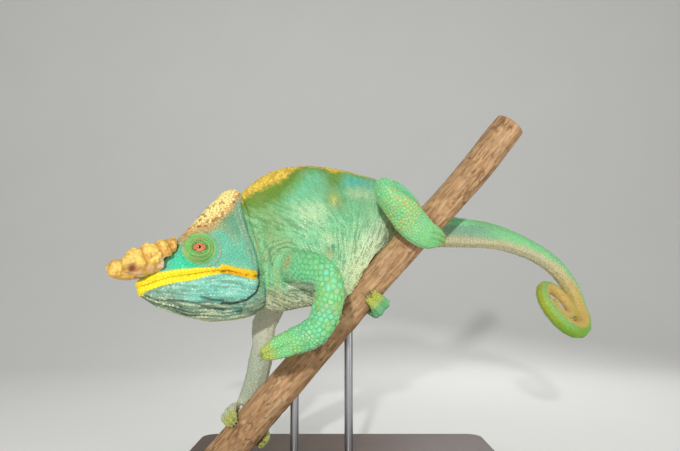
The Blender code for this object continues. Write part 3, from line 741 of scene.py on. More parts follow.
def paint_body(p, c):
    """Neck, trunk and hips: turquoise above, mint on the flank, pale below, with a yellow back edge."""
    u, w, z = trunk_place(p)
    depth = line_at(BACK_LINE, u) - z
    u, z = warped(u, z, p, 5.0, 14)
    base = washed(plain(c, "mint", p), c, (
        ("turquoise", ease(z, 216, 266) * 0.9),
        ("flank_rear", 0.8 * ease(u, 66, 96) * ease(z, 196, 224) * fade(z, 240, 262)),
        ("pale", 0.32 * fade(z, 172, 230) * ease(u, 26, 56)),
        ("belly", 0.95 * ease(u, 60, 94) * fade(z - 0.8 * (u - 76), 180, 214)),
        ("chest", 0.95 * fade(z, 161, 173) * fade(u, 52, 70)),
        ("aqua", 0.95 * cloud(u, z, (94, 270), (20, 8))),
        ("olive", 0.7 * cloud(u, z, (8, 228), (18, 20))),
        ("patch", 0.75 * cloud(u, z, (42, 236), (16, 12))),
        ("patch", 0.5 * cloud(u, z, (56, 243), (15, 8))),
        ("patch", 0.6 * cloud(u, z, (60.6, 214), (8, 7))),
        ("patch", 0.8 * cloud(u, z, (98, 258.5), (17, 6))),
        ("patch", 0.15 * cloud(u, z, (30, 214), (12, 10))),
        ("olive", 0.6 * cloud(u, z, (69, 251), (11, 10)) + 0.9 * cloud(u, z, (71, 271), (9, 12))),
        ("spot", 0.85 * cloud(u, z, (68.5, 250.5), (5.5, 6.5)))))
    olive, yellow = line_at(OLIVE_DEPTH, u) + 4 * fade(u, 24, 48), line_at(YELLOW_DEPTH, u)
    ragged = 5.0 * (lattice_noise(p, 2.4, 11) - 0.5)
    flecks = blotches(p, 1.9, 13, 0.5, 0.68)
    base = washed(base, c, (
        ("olive_soft", 0.8 * fade(depth + 0.8 * ragged, olive - 2, olive + 14 - 8 * ease(u, 30, 60))),
        ("olive", 0.95 * fade(depth + 0.8 * ragged, olive - 8, olive + 3)),
        ("back_yellow", fade(depth + ragged, yellow - 3.0, yellow + 2.4)),
        ("speck", 0.42 * fade(depth, yellow - 1, yellow + 2) * flecks),
        ("belly_light", 0.95 * cloud(u, z, (120, 210), (24, 30)))))
    lines = flank_lines(p) * np.maximum(ease(u, 16, 40), ease(z, 204, 232))
    upright, level, arcs = neck_lines(p), chest_lines(p), shoulder_arcs(u, z)
    low = fade(z, 206, 262)
    weight = (0.3 + 0.7 * low) * ease(depth, yellow, olive + 4)
    # Strength of the painted highlight on the wrinkles' ridges and of the painted shade in their creases.
    light = (0.22 + 0.14 * low + 0.18 * ease(u, 50, 86) * low) * weight
    dark = (0.56 - 0.1 * ease(u, 92, 112) * low) * weight
    front = fade(u, 10, 34) * fade(z, 208, 238) * ease(z, 150, 164)
    chest = fade(z, 166, 182) * fade(u, 44, 66)
    armpit = ease(u, 19, 27) * fade(u, 42, 52) * (w > 10)
    base = washed(base, c, (
        # Painted highlight on the ridges of the flank's wrinkles and painted shade in their creases.
        ("belly_light", light * ease(lines, 0.0, 0.36)),
        ("crease", dark * ease(-lines, 0.0, 0.36)),
        ("neck_tan", front * (0.1 + 0.6 * ease(upright, 0.05, 0.5)) * (1 - 0.3 * ease(u, 6, 20))),
        # Painted shade in the creases of the neck, the breast and the shoulder's arcs, and painted highlight
        # on the breast's ridges.
        ("crease", 0.6 * front * ease(-upright, 0.08, 0.5)),
        ("crease", 0.75 * chest * ease(-level, 0.0, 0.45)),
        ("ridge", 0.35 * chest * ease(level, 0.1, 0.5)),
        ("crease", 0.55 * ease(-arcs, 0.1, 0.9)),
        ("neck_tan", 0.45 * ease(arcs, 0.3, 0.9)),
        ("orange", 0.85 * groove(u - 18.0 - 0.2 * (z - 192), 0.9) * groove(z - 192, 6.0)),
        ("belly_light", 0.85 * armpit * groove(z - 171.3, 2.8)),
        # Painted shadow under the arm.
        ("fold_dark", 0.6 * armpit * groove(z - 167.0, 1.3)),
        ("orange", 0.5 * cloud(u, z, (61, 200), (3.0, 5)))))
    mottle = blotches(p, 9.0, 12, 0.45, 0.75)
    return base, blend(base * RIM_SHADE, c["crest_tan"] * 0.8, 0.18 * mottle)


def paint_head(p, c):
    """Turquoise cheeks and jaw with painted shade in the folds, yellow lips and casque, and the ringed
    eyelids.
    """
    s, t, z = head_place(p)
    mouth, crest, edge = line_at(MOUTH_LINE, s), line_at(CREST_LINE, s), line_at(REAR_EDGE, z)
    level, lines = jaw_lines(p)
    jaw_fold, cheek_fold, chin_fold, rear_fold, near_crest = fold_distances(p)
    hatch = lattice_noise(np.column_stack([s * 0.5 + z * 0.35, z * 0.5 - s * 0.2, t]), 3.0, 25)
    jaw = fade(z - mouth, -1.2, 0.4)
    loose = jaw * fade(level + 0.12 * (lattice_noise(p, 8.0, 21) - 0.5), 0.3, 0.5)
    base = washed(plain(c, "cheek", p), c, (
        ("cheek_light", 0.45 * ease(hatch, 0.5, 0.8)),
        ("teal", oval(s, z, (69, 189), (13, 10))),
        ("jaw_blue", jaw),
        ("gular", jaw * ease(s, 52, 86) * 0.8),
        ("gular", loose),
        ("jaw_blue", 0.45 * loose * fade(s, 20, 50) * ease(level, -0.1, 0.2)),
        # Painted highlight on the ridges of the throat's folds and painted shade in their creases, and the
        # same on the jaw's streaks.
        ("ridge", loose * 0.75 * ease(lines, 0.0, 0.35)),
        ("fold_dark", loose * 0.72 * ease(-lines, 0.02, 0.4)),
        ("jaw_light", (jaw - loose) * 0.75 * ease(lines, 0.0, 0.4)),
        (c["gular"] * 0.75, (jaw - loose) * 0.66 * ease(-lines, 0.0, 0.4)),
        ("ridge", jaw * 0.85 * fade(level, 0.02, 0.1) * ease(level, -0.35, -0.2))))
    above = ease(z - crest, -1.0, 1.5) * ease(z, 196, 204)
    side = 1 - above
    dots = fade(dot_distance(s + 0.7 * z, 0.7 * s - z, 3.8, 23), 0.7, 1.05)
    tan = groove(near_crest - 1.0, 3.9) * ease(s, 12, 18) * fade(s, 74, 84) * ease(z, 200, 206)
    bumps = blotches(p, 2.2, 24, 0.4, 0.6)
    round_eye = np.hypot(s - 43, z - 208)
    arcs = groove(round_eye - 12.5, 1.3) + groove(round_eye - 16.5, 1.1)
    behind_edge = s - edge
    strip = groove(behind_edge - 3.6, 1.3) + 0.8 * groove(behind_edge - 7.0, 0.9)
    lip_top, lip_bottom = z - line_at(LIP_TOP, s), z - line_at(LIP_BOTTOM, s)
    upper = ease(z, mouth - 0.5, mouth + 0.3) * fade(lip_top, -0.7, 0.5) * ease(s, 6, 9)
    lower = fade(z, mouth - 0.3, mouth + 0.5) * ease(lip_bottom, -0.6, 0.8) * ease(s, 7, 10)
    lips = np.maximum(upper, lower)
    behind = behind_head(s, z) * side
    low_neck = behind * fade(z, 160, 176)
    base = washed(base, c, (
        ("casque", above),
        ("back_yellow", 0.45 * above * ease(s, 52, 66)),
        ("crest_tan", 0.95 * tan * side),
        ("crest_orange", tan * above * (0.3 + 0.5 * bumps)),
        ("speck", 0.85 * above * (dots * fade(z - crest, 12, 26))),
        ("temple", 0.8 * side * oval(s, z, (26, 224), (15, 12))),
        ("crest_tan", 0.35 * arcs * (s < 50) * (z > 206) * side),
        ("temple", 0.6 * groove(behind_edge - 5.0, 5.0) * ease(z, 186, 206) * side),
        ("temple_light", 0.7 * strip * ease(z, 184, 192) * side),
        (c["temple"] * 0.72, 0.55 * groove(behind_edge - 5.3, 0.8) * ease(z, 180, 190) * side),
        ("lip", upper),
        ("lip", lower),
        ("lip_orange", 0.7 * lips * fade(s, 32, 56)),
        ("lip_orange", 0.7 * lips * groove(z - mouth, 0.6)),
        (paint_body(p, c)[0], behind * (1 - 0.65 * low_neck))))
    rim = washed(base * RIM_SHADE, c, (
        ("crest_orange", 0.35 * above),
        (0.5 * (c["lip_orange"] + base), 0.9 * lips)))
    # Painted shade in the folds of the jaw, cheek and chin and along the head's rear edge, with a wide soft
    # band of it under the jaw's fold.
    soft = 0.55 - 0.22 * ease(z, 176, 192)
    for distance, width, much in ((jaw_fold, 1.2, 0.92), (jaw_fold, 4.5, 0.3), (cheek_fold, 1.0, 0.7),
                                  (chin_fold, 1.0, 0.75), (rear_fold, 1.1, soft)):
        dark = much * groove(distance, width) * (np.abs(t) > 4)
        base, rim = blend(base, c["fold_dark"], dark), blend(rim, c["fold_dark"] * 0.7, dark)
    across, out = eye_place(p)
    turret = (across < 13.4) & (out > -6)
    ring = 0.5 + 0.5 * lid_waves(across)
    eyelid = washed(plain(c, "turret", p), c, (
        ("turret_ring", 0.55 * ease(-ring, -0.45, -0.1) * ease(across, LID_START, 7)),
        ("crest_tan", 0.5 * blotches(p, 2.5, 27, 0.5, 0.7) * ease(across, 6, 9)),
        ("crest_orange", 0.55 * ease(-ring, -0.25, -0.05) * blotches(p, 6.0, 28, 0.4, 0.6)),
        # Painted shade on the eyelid's lower half.
        ("turret_ring", 0.4 * ease(EYE_HEIGHT - z, 2, 9)),
        (c["lid_red"] * 0.7, 0.9 * fade(across, LID_OPENING, 5.9)),
        ("iris_gold", fade(across, 4.7, 5.1))))
    base = np.where(turret[:, None], eyelid, base)
    rim = np.where(turret[:, None], eyelid * RIM_SHADE, rim)
    socket = groove(across - 16.2, 1.1) * (~turret) * (out > -9) * ease(EYE_FORWARD - s, -4, 4)
    return blend(base, c["crest_orange"], 0.5 * socket), rim


def paint_tail(p, c):
    """Green above and tan below, lime round the coil, with close rings all along, painted shade between them
    and a painted shadow on the base's side.
    """
    along, upper = tail_place(p)
    ragged = upper + 0.22 * (lattice_noise(p, 4.0, 29) - 0.5)
    # The lit top of the tail's base, where the painted shadow on its side ends.
    fold = ease(ragged, 0.12 + 0.006 * along, 0.22 + 0.006 * along) * fade(along, 66, 86)
    top = ease(upper, 0.72, 0.95) * ease(along, 50, 84) * fade(along, 130, 170)
    outer = ease(upper, 0.2, 0.9) * ease(along, 262, 300)
    band = ease(upper, 0.1, 0.3) * fade(upper, 0.62, 0.95)
    base = washed(plain(c, "tail_green", p), c, (
        # Painted shadow on the side of the tail's base, under its lit top.
        ("tail_grey", 0.8 * (1 - fold) * fade(along, 70, 120) * fade(upper, 0.5, 0.9)),
        ("mint", fold),
        ("olive", 0.35 * top),
        ("tail_lime", ease(along, 195, 262)),
        ("back_yellow", 0.28 * outer),
        ("tail_green", 0.5 * band * ease(along, 250, 275)),
        ("tail_tan", 0.7 * ease(along, 332, 354))))
    coil = ease(along, 150, 230)
    under = ease(-ragged, 0.1 - 0.42 * coil, 0.62 - 0.54 * coil)
    tan = washed(plain(c, "tail_pale", p), c, (
        ("tail_tan", ease(along, 150, 215)),
        ("orange", 0.16 * ease(along, 200, 260) * blotches(p, 6.0, 35, 0.4, 0.7))))
    base = base * (1 - under[:, None]) + tan * under[:, None]
    # Painted shade between the tail's rings.
    gaps = 0.2 * ease(-wave(along, 2.3), 0.2, 1.0)
    base = blend(base, c["crease"], gaps * (0.4 + 0.6 * under) * fade(along, 190, 240))
    return base, base * RIM_SHADE


# Along each limb: where the body's colours end, where the hand's begin, and how yellow the toes are.
LIMB_RUN = {"fore_left": ((30, 54), (128, 140), 0.85), "fore_right": ((4, 20), (130, 142), 0.85),
            "hind_left": ((6, 22), (104, 122), 0.45), "hind_right": ((4, 20), (96, 108), 1.0)}


def toe_tips(p):
    """1 round the claws' roots, falling to 0 seventeen millimetres from them."""
    roots = np.array([root for root, _, _ in claw_roots()])
    return fade(nearest_distance(p, roots), 6, 17)


def paint_limb(p, normal, region, limb, c):
    """Cyan scale middles in green skin, an orange mottling, a pale inner side and yellow-green toes."""
    along, _, _ = path_place(p, LIMB_PATHS[limb])
    body_end, hand_start, yellow_toes = LIMB_RUN[limb]
    near, arm = limb.endswith("left"), limb == "fore_left"
    hands = ease(along, *hand_start)
    base = washed(plain(c, "limb", p), c, (
        ("limb_cyan", (0.75 if arm else 0.35) * blotches(p, 9.0, 30, 0.35, 0.7)),
        ("tail_green", 0.4 * blotches(p, 7.0, 31, 0.56, 0.76))))
    rim = washed(plain(c, "limb_green", p), c, (
        ("orange", 0.2 * blotches(p, 4.0, 32, 0.54, 0.7)),
        (base, 0.3 if arm else 0.55)))
    base = blend(base, c["hand"], 0.7 * hands)
    if arm:
        yellow = blotches(p, 3.4, 34, 0.44, 0.62) * groove(along - 96, 26)
        creases = wrist_lines(along)
        base = washed(base, c, (
            ("orange", 0.3 * blotches(p, 3.0, 37, 0.5, 0.64) * groove(along - 88, 12)),
            ("turquoise", 0.4 * fade(along, 56, 84)),
            ("tail_lime", 0.28 * yellow),
            # Painted highlight on the wrist's ridges and painted shade in its creases.
            ("ridge", 0.2 * ease(creases, 0.2, 0.9)),
            (c["limb_green"] * 0.7, 0.5 * ease(-creases, 0.2, 0.9))))
        rim = blend(rim, c["finger"], 0.35 * yellow)
    if limb == "hind_left":
        pale = (0.25 + 0.35 * blotches(p, 8.0, 36, 0.32, 0.62)) * groove(along - 86, 22)
        warm = blotches(p, 2.6, 33, 0.5, 0.66) * groove(along - 84, 22)
        base = washed(base, c, (("spot", pale), (0.5 * (c["orange"] + c["back_yellow"]), 0.42 * warm)))
        rim = blend(rim, c["orange"], 0.3 * warm)
    facing = -SIDES[limb.split("_")[1]] * (normal @ TRUNK_LEFT)
    inner = ease(facing, 0.1, 0.6) if near else ease(facing, -0.45, 0.0)
    if near:
        inner = np.maximum(inner, 0.6 * ease(-normal[:, 2], 0.75, 0.95) * (1 - hands))
    if arm:
        armpit = 0.9 * fade(p[:, 2], 172, 176) * fade(p[:, 0], -28, -18) * (along < 70)
        inner = np.maximum(inner, armpit)
    if limb == "hind_right":
        inner = inner * fade(along, 70, 92)
    base, rim = blend(base, c["medial"], 0.9 * inner), blend(rim, c["medial"] * 0.9, 0.9 * inner)
    if limb == "fore_right":
        base = washed(base, c, (
            ("tail_grey", 0.65 * ease(along, 60, 100) * (1 - hands)),
            ("belly", 0.5 * hands)))
    base = blend(base, c["gular"], 0.5 * in_nodes(region, ("toes_hind_right_inner",)))
    tips = toe_tips(p) * yellow_toes
    base, rim = blend(base, c["finger"], tips), blend(rim, c["finger"] * 0.7, tips)
    body, body_rim = paint_body(p, c)
    root = fade(along, *body_end)
    return blend(base, body, root), blend(rim, body_rim, root)


def paint(p, normal, region):
    """Colour of a scale's middle and of its rim and the skin round it, at these points."""
    c = palette()
    base, rim = np.zeros((len(p), 3)), np.zeros((len(p), 3))
    for nodes, colouring in ((HEAD_NODES, paint_head), (BODY_NODES, paint_body), (TAIL_NODES, paint_tail)):
        mine = in_nodes(region, nodes)
        base[mine], rim[mine] = colouring(p[mine], c)
    for limb, nodes in LIMB_OF.items():
        mine = in_nodes(region, nodes)
        base[mine], rim[mine] = paint_limb(p[mine], normal[mine], region[mine], limb, c)
    return np.clip(base, 0, 1), np.clip(rim, 0, 1)


# ---- unwrap of the skin
# Space between two charts in millimetres, and the width of a shelf as a share of a square's side.
CHART_GAP = 3.0
SHELF_SHARE = 1.12


def region_charts(points, triangles, region):
    """Each region's faces laid flat along the six directions of its own box, packed side by side."""
    corners = points[triangles]
    normal = unit(np.cross(corners[:, 1] - corners[:, 0], corners[:, 2] - corners[:, 0]))
    turned = normal @ TRUNK_AXES.T
    axis = np.abs(turned).argmax(1)
    facing = axis * 2 + (turned[np.arange(len(axis)), axis] > 0)
    chart = region[triangles[:, 0]] * 6 + facing
    flat_all = corners @ TRUNK_AXES.T
    keep = {0: (1, 2), 1: (0, 2), 2: (0, 1)}
    boxes = []
    for number in np.unique(chart):
        mine = chart == number
        a, b = keep[(number % 6) // 2]
        flat = flat_all[mine][:, :, (a, b)].reshape(-1, 2)
        boxes.append((number, flat.min(0), flat.max(0) - flat.min(0)))
    boxes.sort(key=lambda row: -row[2][1])
    total = sum((w + 4) * (h + 4) for _, _, (w, h) in boxes)
    width = math.sqrt(total) * SHELF_SHARE
    x = y = shelf = 0.0
    place = {}
    for number, low, (w, h) in boxes:
        if x + w > width:
            x, y, shelf = 0.0, y + shelf + CHART_GAP, 0.0
        place[number] = (keep[(number % 6) // 2], low, np.array([x, y]))
        x, shelf = x + w + CHART_GAP, max(shelf, h)
    return chart, place, max(width, y + shelf)


def chart_place(points, chart, place, scale):
    """Where points of given charts lie on the unwrap, from 0 to 1."""
    local = points @ TRUNK_AXES.T
    uv = np.zeros((len(points), 2))
    for number, ((a, b), low, origin) in place.items():
        mine = chart == number
        uv[mine] = (local[mine][:, (a, b)] - low + origin) / scale
    return uv


def store_uv(mesh, uv_of_loops):
    layer = mesh.uv_layers.new(name="OFBake")
    layer.data.foreach_set("uv", np.asarray(uv_of_loops, np.float32).ravel())


# ---- scales
def spacing_of(region):
    """Mean width of a scale, in millimetres, by region."""
    sizes = bpy.context.scene.chameleon_sizes
    arm, leg, tail = sizes.arm_scale, sizes.leg_scale, sizes.tail_scale
    spacing = np.full(len(region), sizes.body_scale / MM)
    for nodes, value in ((HEAD_NODES[:1], sizes.head_scale), (HEAD_NODES[1:2], sizes.jaw_scale),
                         (HEAD_NODES[2:], sizes.turret_scale), (TAIL_NODES[:2], tail),
                         (TAIL_NODES[2:3], tail * 0.85), (TAIL_NODES[3:], tail * 0.65),
                         (TOE_NODES, sizes.toe_scale)):
        spacing[in_nodes(region, nodes)] = value / MM
    for part, value in (("upper_arm", arm * 0.92), ("forearm", arm), ("hand", arm * 0.66),
                        ("thigh", leg), ("shank", leg), ("foot", leg * 0.8)):
        spacing[in_nodes(region, [part + "_left", part + "_right"])] = value / MM
    spacing[in_nodes(region, LIMB_OF["fore_right"][:3])] = leg / MM * 0.85
    return spacing


def nearest_index(points, seeds):
    find = point_tree(seeds).find
    return np.fromiter((find(p)[1] for p in points.tolist()), np.int64, len(points))


# Samples taken for each scale, and the share of its width squared that a scale covers.
SAMPLES_EACH = 9
PACKING = 0.87


def scattered(points, triangles, spacing, fixed, rng, rounds=9):
    """Evenly spread roots on a surface, as dense as `spacing` asks, round the fixed ones."""
    first, second, third = points[triangles].transpose(1, 0, 2)
    area = np.linalg.norm(np.cross(second - first, third - first), axis=1) / 2
    local = spacing[triangles].mean(1)
    share = area / (PACKING * local ** 2)
    count = int(share.sum() * SAMPLES_EACH)
    pick = rng.choice(len(triangles), count, p=share / share.sum())
    a, b = rng.random(count), rng.random(count)
    a, b = np.where(a + b > 1, 1 - a, a), np.where(a + b > 1, 1 - b, b)
    samples = first[pick] + a[:, None] * (second - first)[pick]
    samples += b[:, None] * (third - first)[pick]
    weight = 1.0 / local[pick] ** 2
    seeds = samples[::SAMPLES_EACH].copy()
    if len(fixed):
        taken = nearest_distance(seeds, fixed)
        seeds = np.vstack([fixed, seeds[taken > 0.8 * local[pick][::SAMPLES_EACH]]])
    for _ in range(rounds):
        owner = nearest_index(samples, seeds)
        total = np.bincount(owner, weight, len(seeds))
        used = (total > 0) & (np.arange(len(seeds)) >= len(fixed))
        for k in range(3):
            mean = np.bincount(owner, weight * samples[:, k], len(seeds))
            seeds[used, k] = mean[used] / total[used]
    return seeds[len(fixed):]


def nearest_distance(points, seeds):
    index = nearest_index(points, seeds)
    return np.linalg.norm(points - seeds[index], axis=1)


def on_surface(points, tree, vertex_normals, triangles):
    """Points dropped on a surface, with its smooth normals and triangle numbers there."""
    places, faces = [], []
    for p in points.tolist():
        place, _, face, _ = tree.find_nearest(p)
        places.append(place[:])
        faces.append(face)
    faces = np.array(faces)
    return np.array(places), unit(vertex_normals[triangles[faces]].mean(1)), faces


def reach_of(roots, normals, widest, ways, close=12):
    """How far each scale reaches in `ways` directions: halfway to its neighbours."""
    tree = point_tree(roots)
    near = np.array([[hit[1] for hit in tree.find_n(root, close + 1)][1:] for root in roots.tolist()])
    helper = np.where(np.abs(normals[:, 2:3]) < 0.8, UP, TRUNK_REAR)
    right = unit(np.cross(helper, normals))
    ahead = np.cross(normals, right)
    offset = roots[near] - roots[:, None]
    x = np.sum(offset * right[:, None], axis=2)
    y = np.sum(offset * ahead[:, None], axis=2)
    angles = 2 * math.pi * (np.arange(ways) + 0.5) / ways
    facing = x[:, :, None] * np.cos(angles) + y[:, :, None] * np.sin(angles)
    half = ((x * x + y * y) / 2)[:, :, None]
    reach = np.where(facing > 1e-6, half / np.maximum(facing, 1e-6), np.inf).min(1)
    return np.minimum(reach, widest[:, None]), right, ahead, angles


# Rings of a scale from its foot up: share of its reach, share of its height, share of its middle's colour.
TILE_RINGS = ((1.0, -1.0, 0.0), (0.93, 0.55, 0.45), (0.62, 0.95, 1.0))
TILE_PATCH = 0.0030
SKIN_SINK = 0.32


def tile_mesh(name, tiles, angles):
    """Closed scales in one mesh: a foot sunk in the skin, a slanting rim and a low crown."""
    roots, normals, reach, right, ahead, height, colours, rims, root_uv = tiles
    count, ways = reach.shape
    reach = np.maximum(reach, 0.25)
    cosines, sines = np.cos(angles), np.sin(angles)
    way = cosines[None, :, None] * right[:, None] + sines[None, :, None] * ahead[:, None]
    widest = reach.max(1)[:, None]
    layers, tints, flats = [], [], []
    for out, level, bright in TILE_RINGS:
        rise = np.where(level < 0, -SKIN_SINK, level * height)
        place = roots[:, None] + way * (reach * out)[:, :, None]
        layers.append(place + normals[:, None] * rise[:, None, None])
        tints.append(np.repeat((rims + (colours - rims) * bright)[:, None], ways, axis=1))
        disc = np.stack([cosines, sines], 1)[None] * (out * reach / widest)[:, :, None]
        flats.append(root_uv[:, None] + disc * TILE_PATCH / 2)
    layers.append((roots + normals * height[:, None])[:, None])
    tints.append(np.minimum(colours * 1.03, 1.0)[:, None])
    flats.append(root_uv[:, None])
    points, tint, flat = (np.concatenate(part, axis=1) for part in (layers, tints, flats))
    each, top = points.shape[1], (len(TILE_RINGS) - 1) * ways
    faces = [[*range(ways - 1, -1, -1)], *ring_faces(len(TILE_RINGS), ways)]
    faces += [[top + k, top + (k + 1) % ways, each - 1] for k in range(ways)]
    loops = (np.arange(count)[:, None] * each + np.concatenate(faces)).ravel()
    totals = np.tile([len(face) for face in faces], count)
    obj = make_object(name, points.reshape(-1, 3), loops, totals)
    store_colour(obj.data, "paint", tint.reshape(-1, 3))
    store_uv(obj.data, flat.reshape(-1, 2)[loops])
    return obj


# ---- materials
class Nodes:
    """Short ways to add and join shader nodes."""

    def __init__(self, name):
        self.material = bpy.data.materials.new(name)
        self.material.use_nodes = True
        self.tree = self.material.node_tree
        self.shader = self.tree.nodes["Principled BSDF"]

    def add(self, kind, **settings):
        node = self.tree.nodes.new(kind)
        for key, value in settings.items():
            setattr(node, key, value)
        return node

    def join(self, output, socket):
        self.tree.links.new(output, socket)

    def place(self):
        return self.add("ShaderNodeTexCoord").outputs["Object"]

    def attribute(self, name):
        return self.add("ShaderNodeAttribute", attribute_name=name)

    def noise(self, scale, detail=2.0, stretch=None):
        node = self.add("ShaderNodeTexNoise")
        node.inputs["Scale"].default_value = scale
        node.inputs["Detail"].default_value = detail
        source = self.place()
        if stretch:
            mapping = self.add("ShaderNodeMapping")
            mapping.inputs["Scale"].default_value = stretch
            self.join(source, mapping.inputs["Vector"])
            source = mapping.outputs["Vector"]
        self.join(source, node.inputs["Vector"])
        return node.outputs["Fac"]

    def spread(self, value, low, high, source_low=0.0, source_high=1.0):
        node = self.add("ShaderNodeMapRange")
        for socket, number in (("From Min", source_low), ("From Max", source_high),
                               ("To Min", low), ("To Max", high)):
            node.inputs[socket].default_value = number
        self.join(value, node.inputs["Value"])
        return node.outputs["Result"]

    def ramp(self, value, stops):
        node = self.add("ShaderNodeValToRGB")
        while len(node.color_ramp.elements) < len(stops):
            node.color_ramp.elements.new(0.5)
        for element, (place, colour) in zip(node.color_ramp.elements, stops):
            element.position = place
            element.color = (*colour, 1.0)
        self.join(value, node.inputs["Fac"])
        return node.outputs["Color"]

    def scaled(self, colour, value):
        node = self.add("ShaderNodeVectorMath", operation="SCALE")
        self.join(colour, node.inputs[0])
        self.join(value, node.inputs["Scale"])
        return node.outputs["Vector"]

    def bumped(self, height, depth):
        node = self.add("ShaderNodeBump")
        node.inputs["Distance"].default_value = depth * MM
        self.join(height, node.inputs["Height"])
        self.join(node.outputs["Normal"], self.shader.inputs["Normal"])

    def constants(self, **values):
        for name, value in values.items():
            self.shader.inputs[name.replace("_", " ")].default_value = value


def painted_surface(name, mottling, tint, roughness, grain, detail, depth, gloss):
    """The stored colour with a little mottling, under a fine grain."""
    m = Nodes(name)
    shade = m.spread(mottling(m), *tint, 0.3, 0.7)
    m.join(m.scaled(m.attribute("paint").outputs["Color"], shade), m.shader.inputs["Base Color"])
    scale, smooth, rough = roughness
    m.join(m.spread(m.noise(scale), smooth, rough), m.shader.inputs["Roughness"])
    m.bumped(m.noise(grain, detail), depth)
    m.constants(Specular_IOR_Level=gloss)
    return m.material


def painted_material(name, roughness, grain, depth, tint=0.1):
    """Painted flesh, horn or claw."""
    return painted_surface(name, lambda m: m.noise(420.0), (1.0 - tint, 1.0 + tint),
                           (160.0, roughness - 0.05, roughness + 0.07), grain, 3.0, depth, 0.45)


def toned(colour, share):
    """A colour property made darker or lighter by one factor."""
    return tuple(share * part for part in colour[:3])


def eye_material():
    """Wet black pupil, orange iris with a golden edge and a dark rim, by the angle from the axis."""
    colours = bpy.context.scene.chameleon_colours
    iris, gold, dark = toned(colours.iris, 1.0), toned(colours.iris_gold, 1.0), toned(colours.iris, 0.35)
    between = tuple(0.6 * a + 0.4 * b for a, b in zip(iris, gold))
    m = Nodes("eye_wet_glass")
    stops = ((0.0, (0.003, 0.002, 0.002)), (0.2, (0.004, 0.003, 0.003)), (0.225, dark), (0.27, iris),
             (0.46, between), (0.6, gold), (0.78, dark))
    m.join(m.ramp(m.attribute("polar").outputs["Fac"], stops), m.shader.inputs["Base Color"])
    m.constants(Roughness=0.06, IOR=1.38, Coat_Weight=1.0, Coat_Roughness=0.02)
    return m.material


def bark_material():
    return painted_surface("bark_dry", lambda m: m.noise(90.0, 6.0), (0.84, 1.12), (200.0, 0.78, 0.95),
                           700.0, 8.0, 0.5, 0.25)


def wood_material():
    """Dark oiled wood with its grain along the base."""
    wood = bpy.context.scene.chameleon_colours.base_wood
    m = Nodes("stand_oiled_wood")
    grain = m.noise(160.0, 5.0, stretch=(0.12, 1.0, 1.0))
    stops = ((0.3, toned(wood, 0.55)), (0.7, toned(wood, 1.25)))
    m.join(m.ramp(grain, stops), m.shader.inputs["Base Color"])
    m.join(m.spread(grain, 0.34, 0.5), m.shader.inputs["Roughness"])
    m.bumped(m.noise(900.0, 3.0, stretch=(0.08, 1.0, 1.0)), 0.06)
    return m.material


def steel_material():
    """Steel brushed round the rods."""
    steel = bpy.context.scene.chameleon_colours.rod_steel
    m = Nodes("stand_brushed_steel")
    brush = m.noise(2600.0, 2.0, stretch=(1.0, 1.0, 0.02))
    stops = ((0.3, toned(steel, 0.88)), (0.7, toned(steel, 1.0)))
    m.join(m.ramp(brush, stops), m.shader.inputs["Base Color"])
    m.join(m.spread(brush, 0.26, 0.4), m.shader.inputs["Roughness"])
    m.constants(Metallic=1.0)
    return m.material


def stage_material():
    """Plain pale paper."""
    pale = bpy.context.scene.chameleon_colours.studio
    m = Nodes("studio_paper")
    stops = ((0.3, toned(pale, 0.985)), (0.7, toned(pale, 1.0)))
    m.join(m.ramp(m.noise(6.0), stops), m.shader.inputs["Base Color"])
    m.constants(Roughness=0.9, Specular_IOR_Level=0.1)
    return m.material


# ---- skin
SKIN_GROWTH = 0.45
SKIN_MESH = 0.8
SKIN_SMOOTHING = 30
SKIN_TRIANGLES = 185000
# Where the skin is drawn back round a claw: from its root forwards, and how far from its middle line.
CLAW_BARE, CLAW_REACH, CLAW_ROOM = 0.6, 9.0, 2.6


class SkinState:
    """What the scales need to know of the finished skin."""
    points = normals = triangles = region = chart = place = scale = tree = None


def out_of_claws(points):
    """Draws the skin back out of the claws, down to their roots."""
    points = points.copy()
    for root, ahead, _ in claw_roots():
        along = (points - root) @ ahead
        across = np.linalg.norm(points - root - along[:, None] * ahead, axis=1)
        inside = (along > CLAW_BARE) & (along < CLAW_REACH) & (across < CLAW_ROOM)
        points[inside] -= (along[inside] - CLAW_BARE)[:, None] * ahead
    return points


def build_skin():
    """One surface over all the flesh, with its folds, painted and unwrapped."""
    sizes = bpy.context.scene.chameleon_sizes
    obj = grown_solids("skin", FLESH, SKIN_GROWTH)
    remeshed(obj, SKIN_MESH)
    mesh = obj.data
    points = smoothed(points_of(mesh), edges_of(mesh), SKIN_SMOOTHING)
    set_points(mesh, points)
    tree, owner = node_tree(FLESH)
    region = regions_at(points, tree, owner)
    points = out_of_claws(points - normals_of(mesh) * (SKIN_GROWTH + sizes.coat_depth / MM))
    set_points(mesh, points)
    set_points(mesh, points + normals_of(mesh) * relief(points, region)[:, None])
    fewer = obj.modifiers.new("fewer", "DECIMATE")
    fewer.ratio = min(1.0, SKIN_TRIANGLES / len(triangles_of(mesh)))
    applied(obj)
    mesh = obj.data
    smooth_faces(mesh)
    points, normals, triangles = points_of(mesh), normals_of(mesh), triangles_of(mesh)
    region = regions_at(points, tree, owner)
    _, rim = paint(points, normals, region)
    store_colour(mesh, "paint", rim)
    chart, place, scale = region_charts(points, triangles, region)
    corners = points[triangles].reshape(-1, 3)
    store_uv(mesh, chart_place(corners, np.repeat(chart, 3), place, scale))
    state = SkinState
    state.points, state.normals, state.triangles, state.region = points, normals, triangles, region
    state.chart, state.place, state.scale = chart, place, scale
    state.tree = BVHTree.FromPolygons(points.tolist(), triangles.tolist())
    finish_piece(obj, painted_material("skin_under_scales", 0.62, 2200.0, 0.1), FLESH)


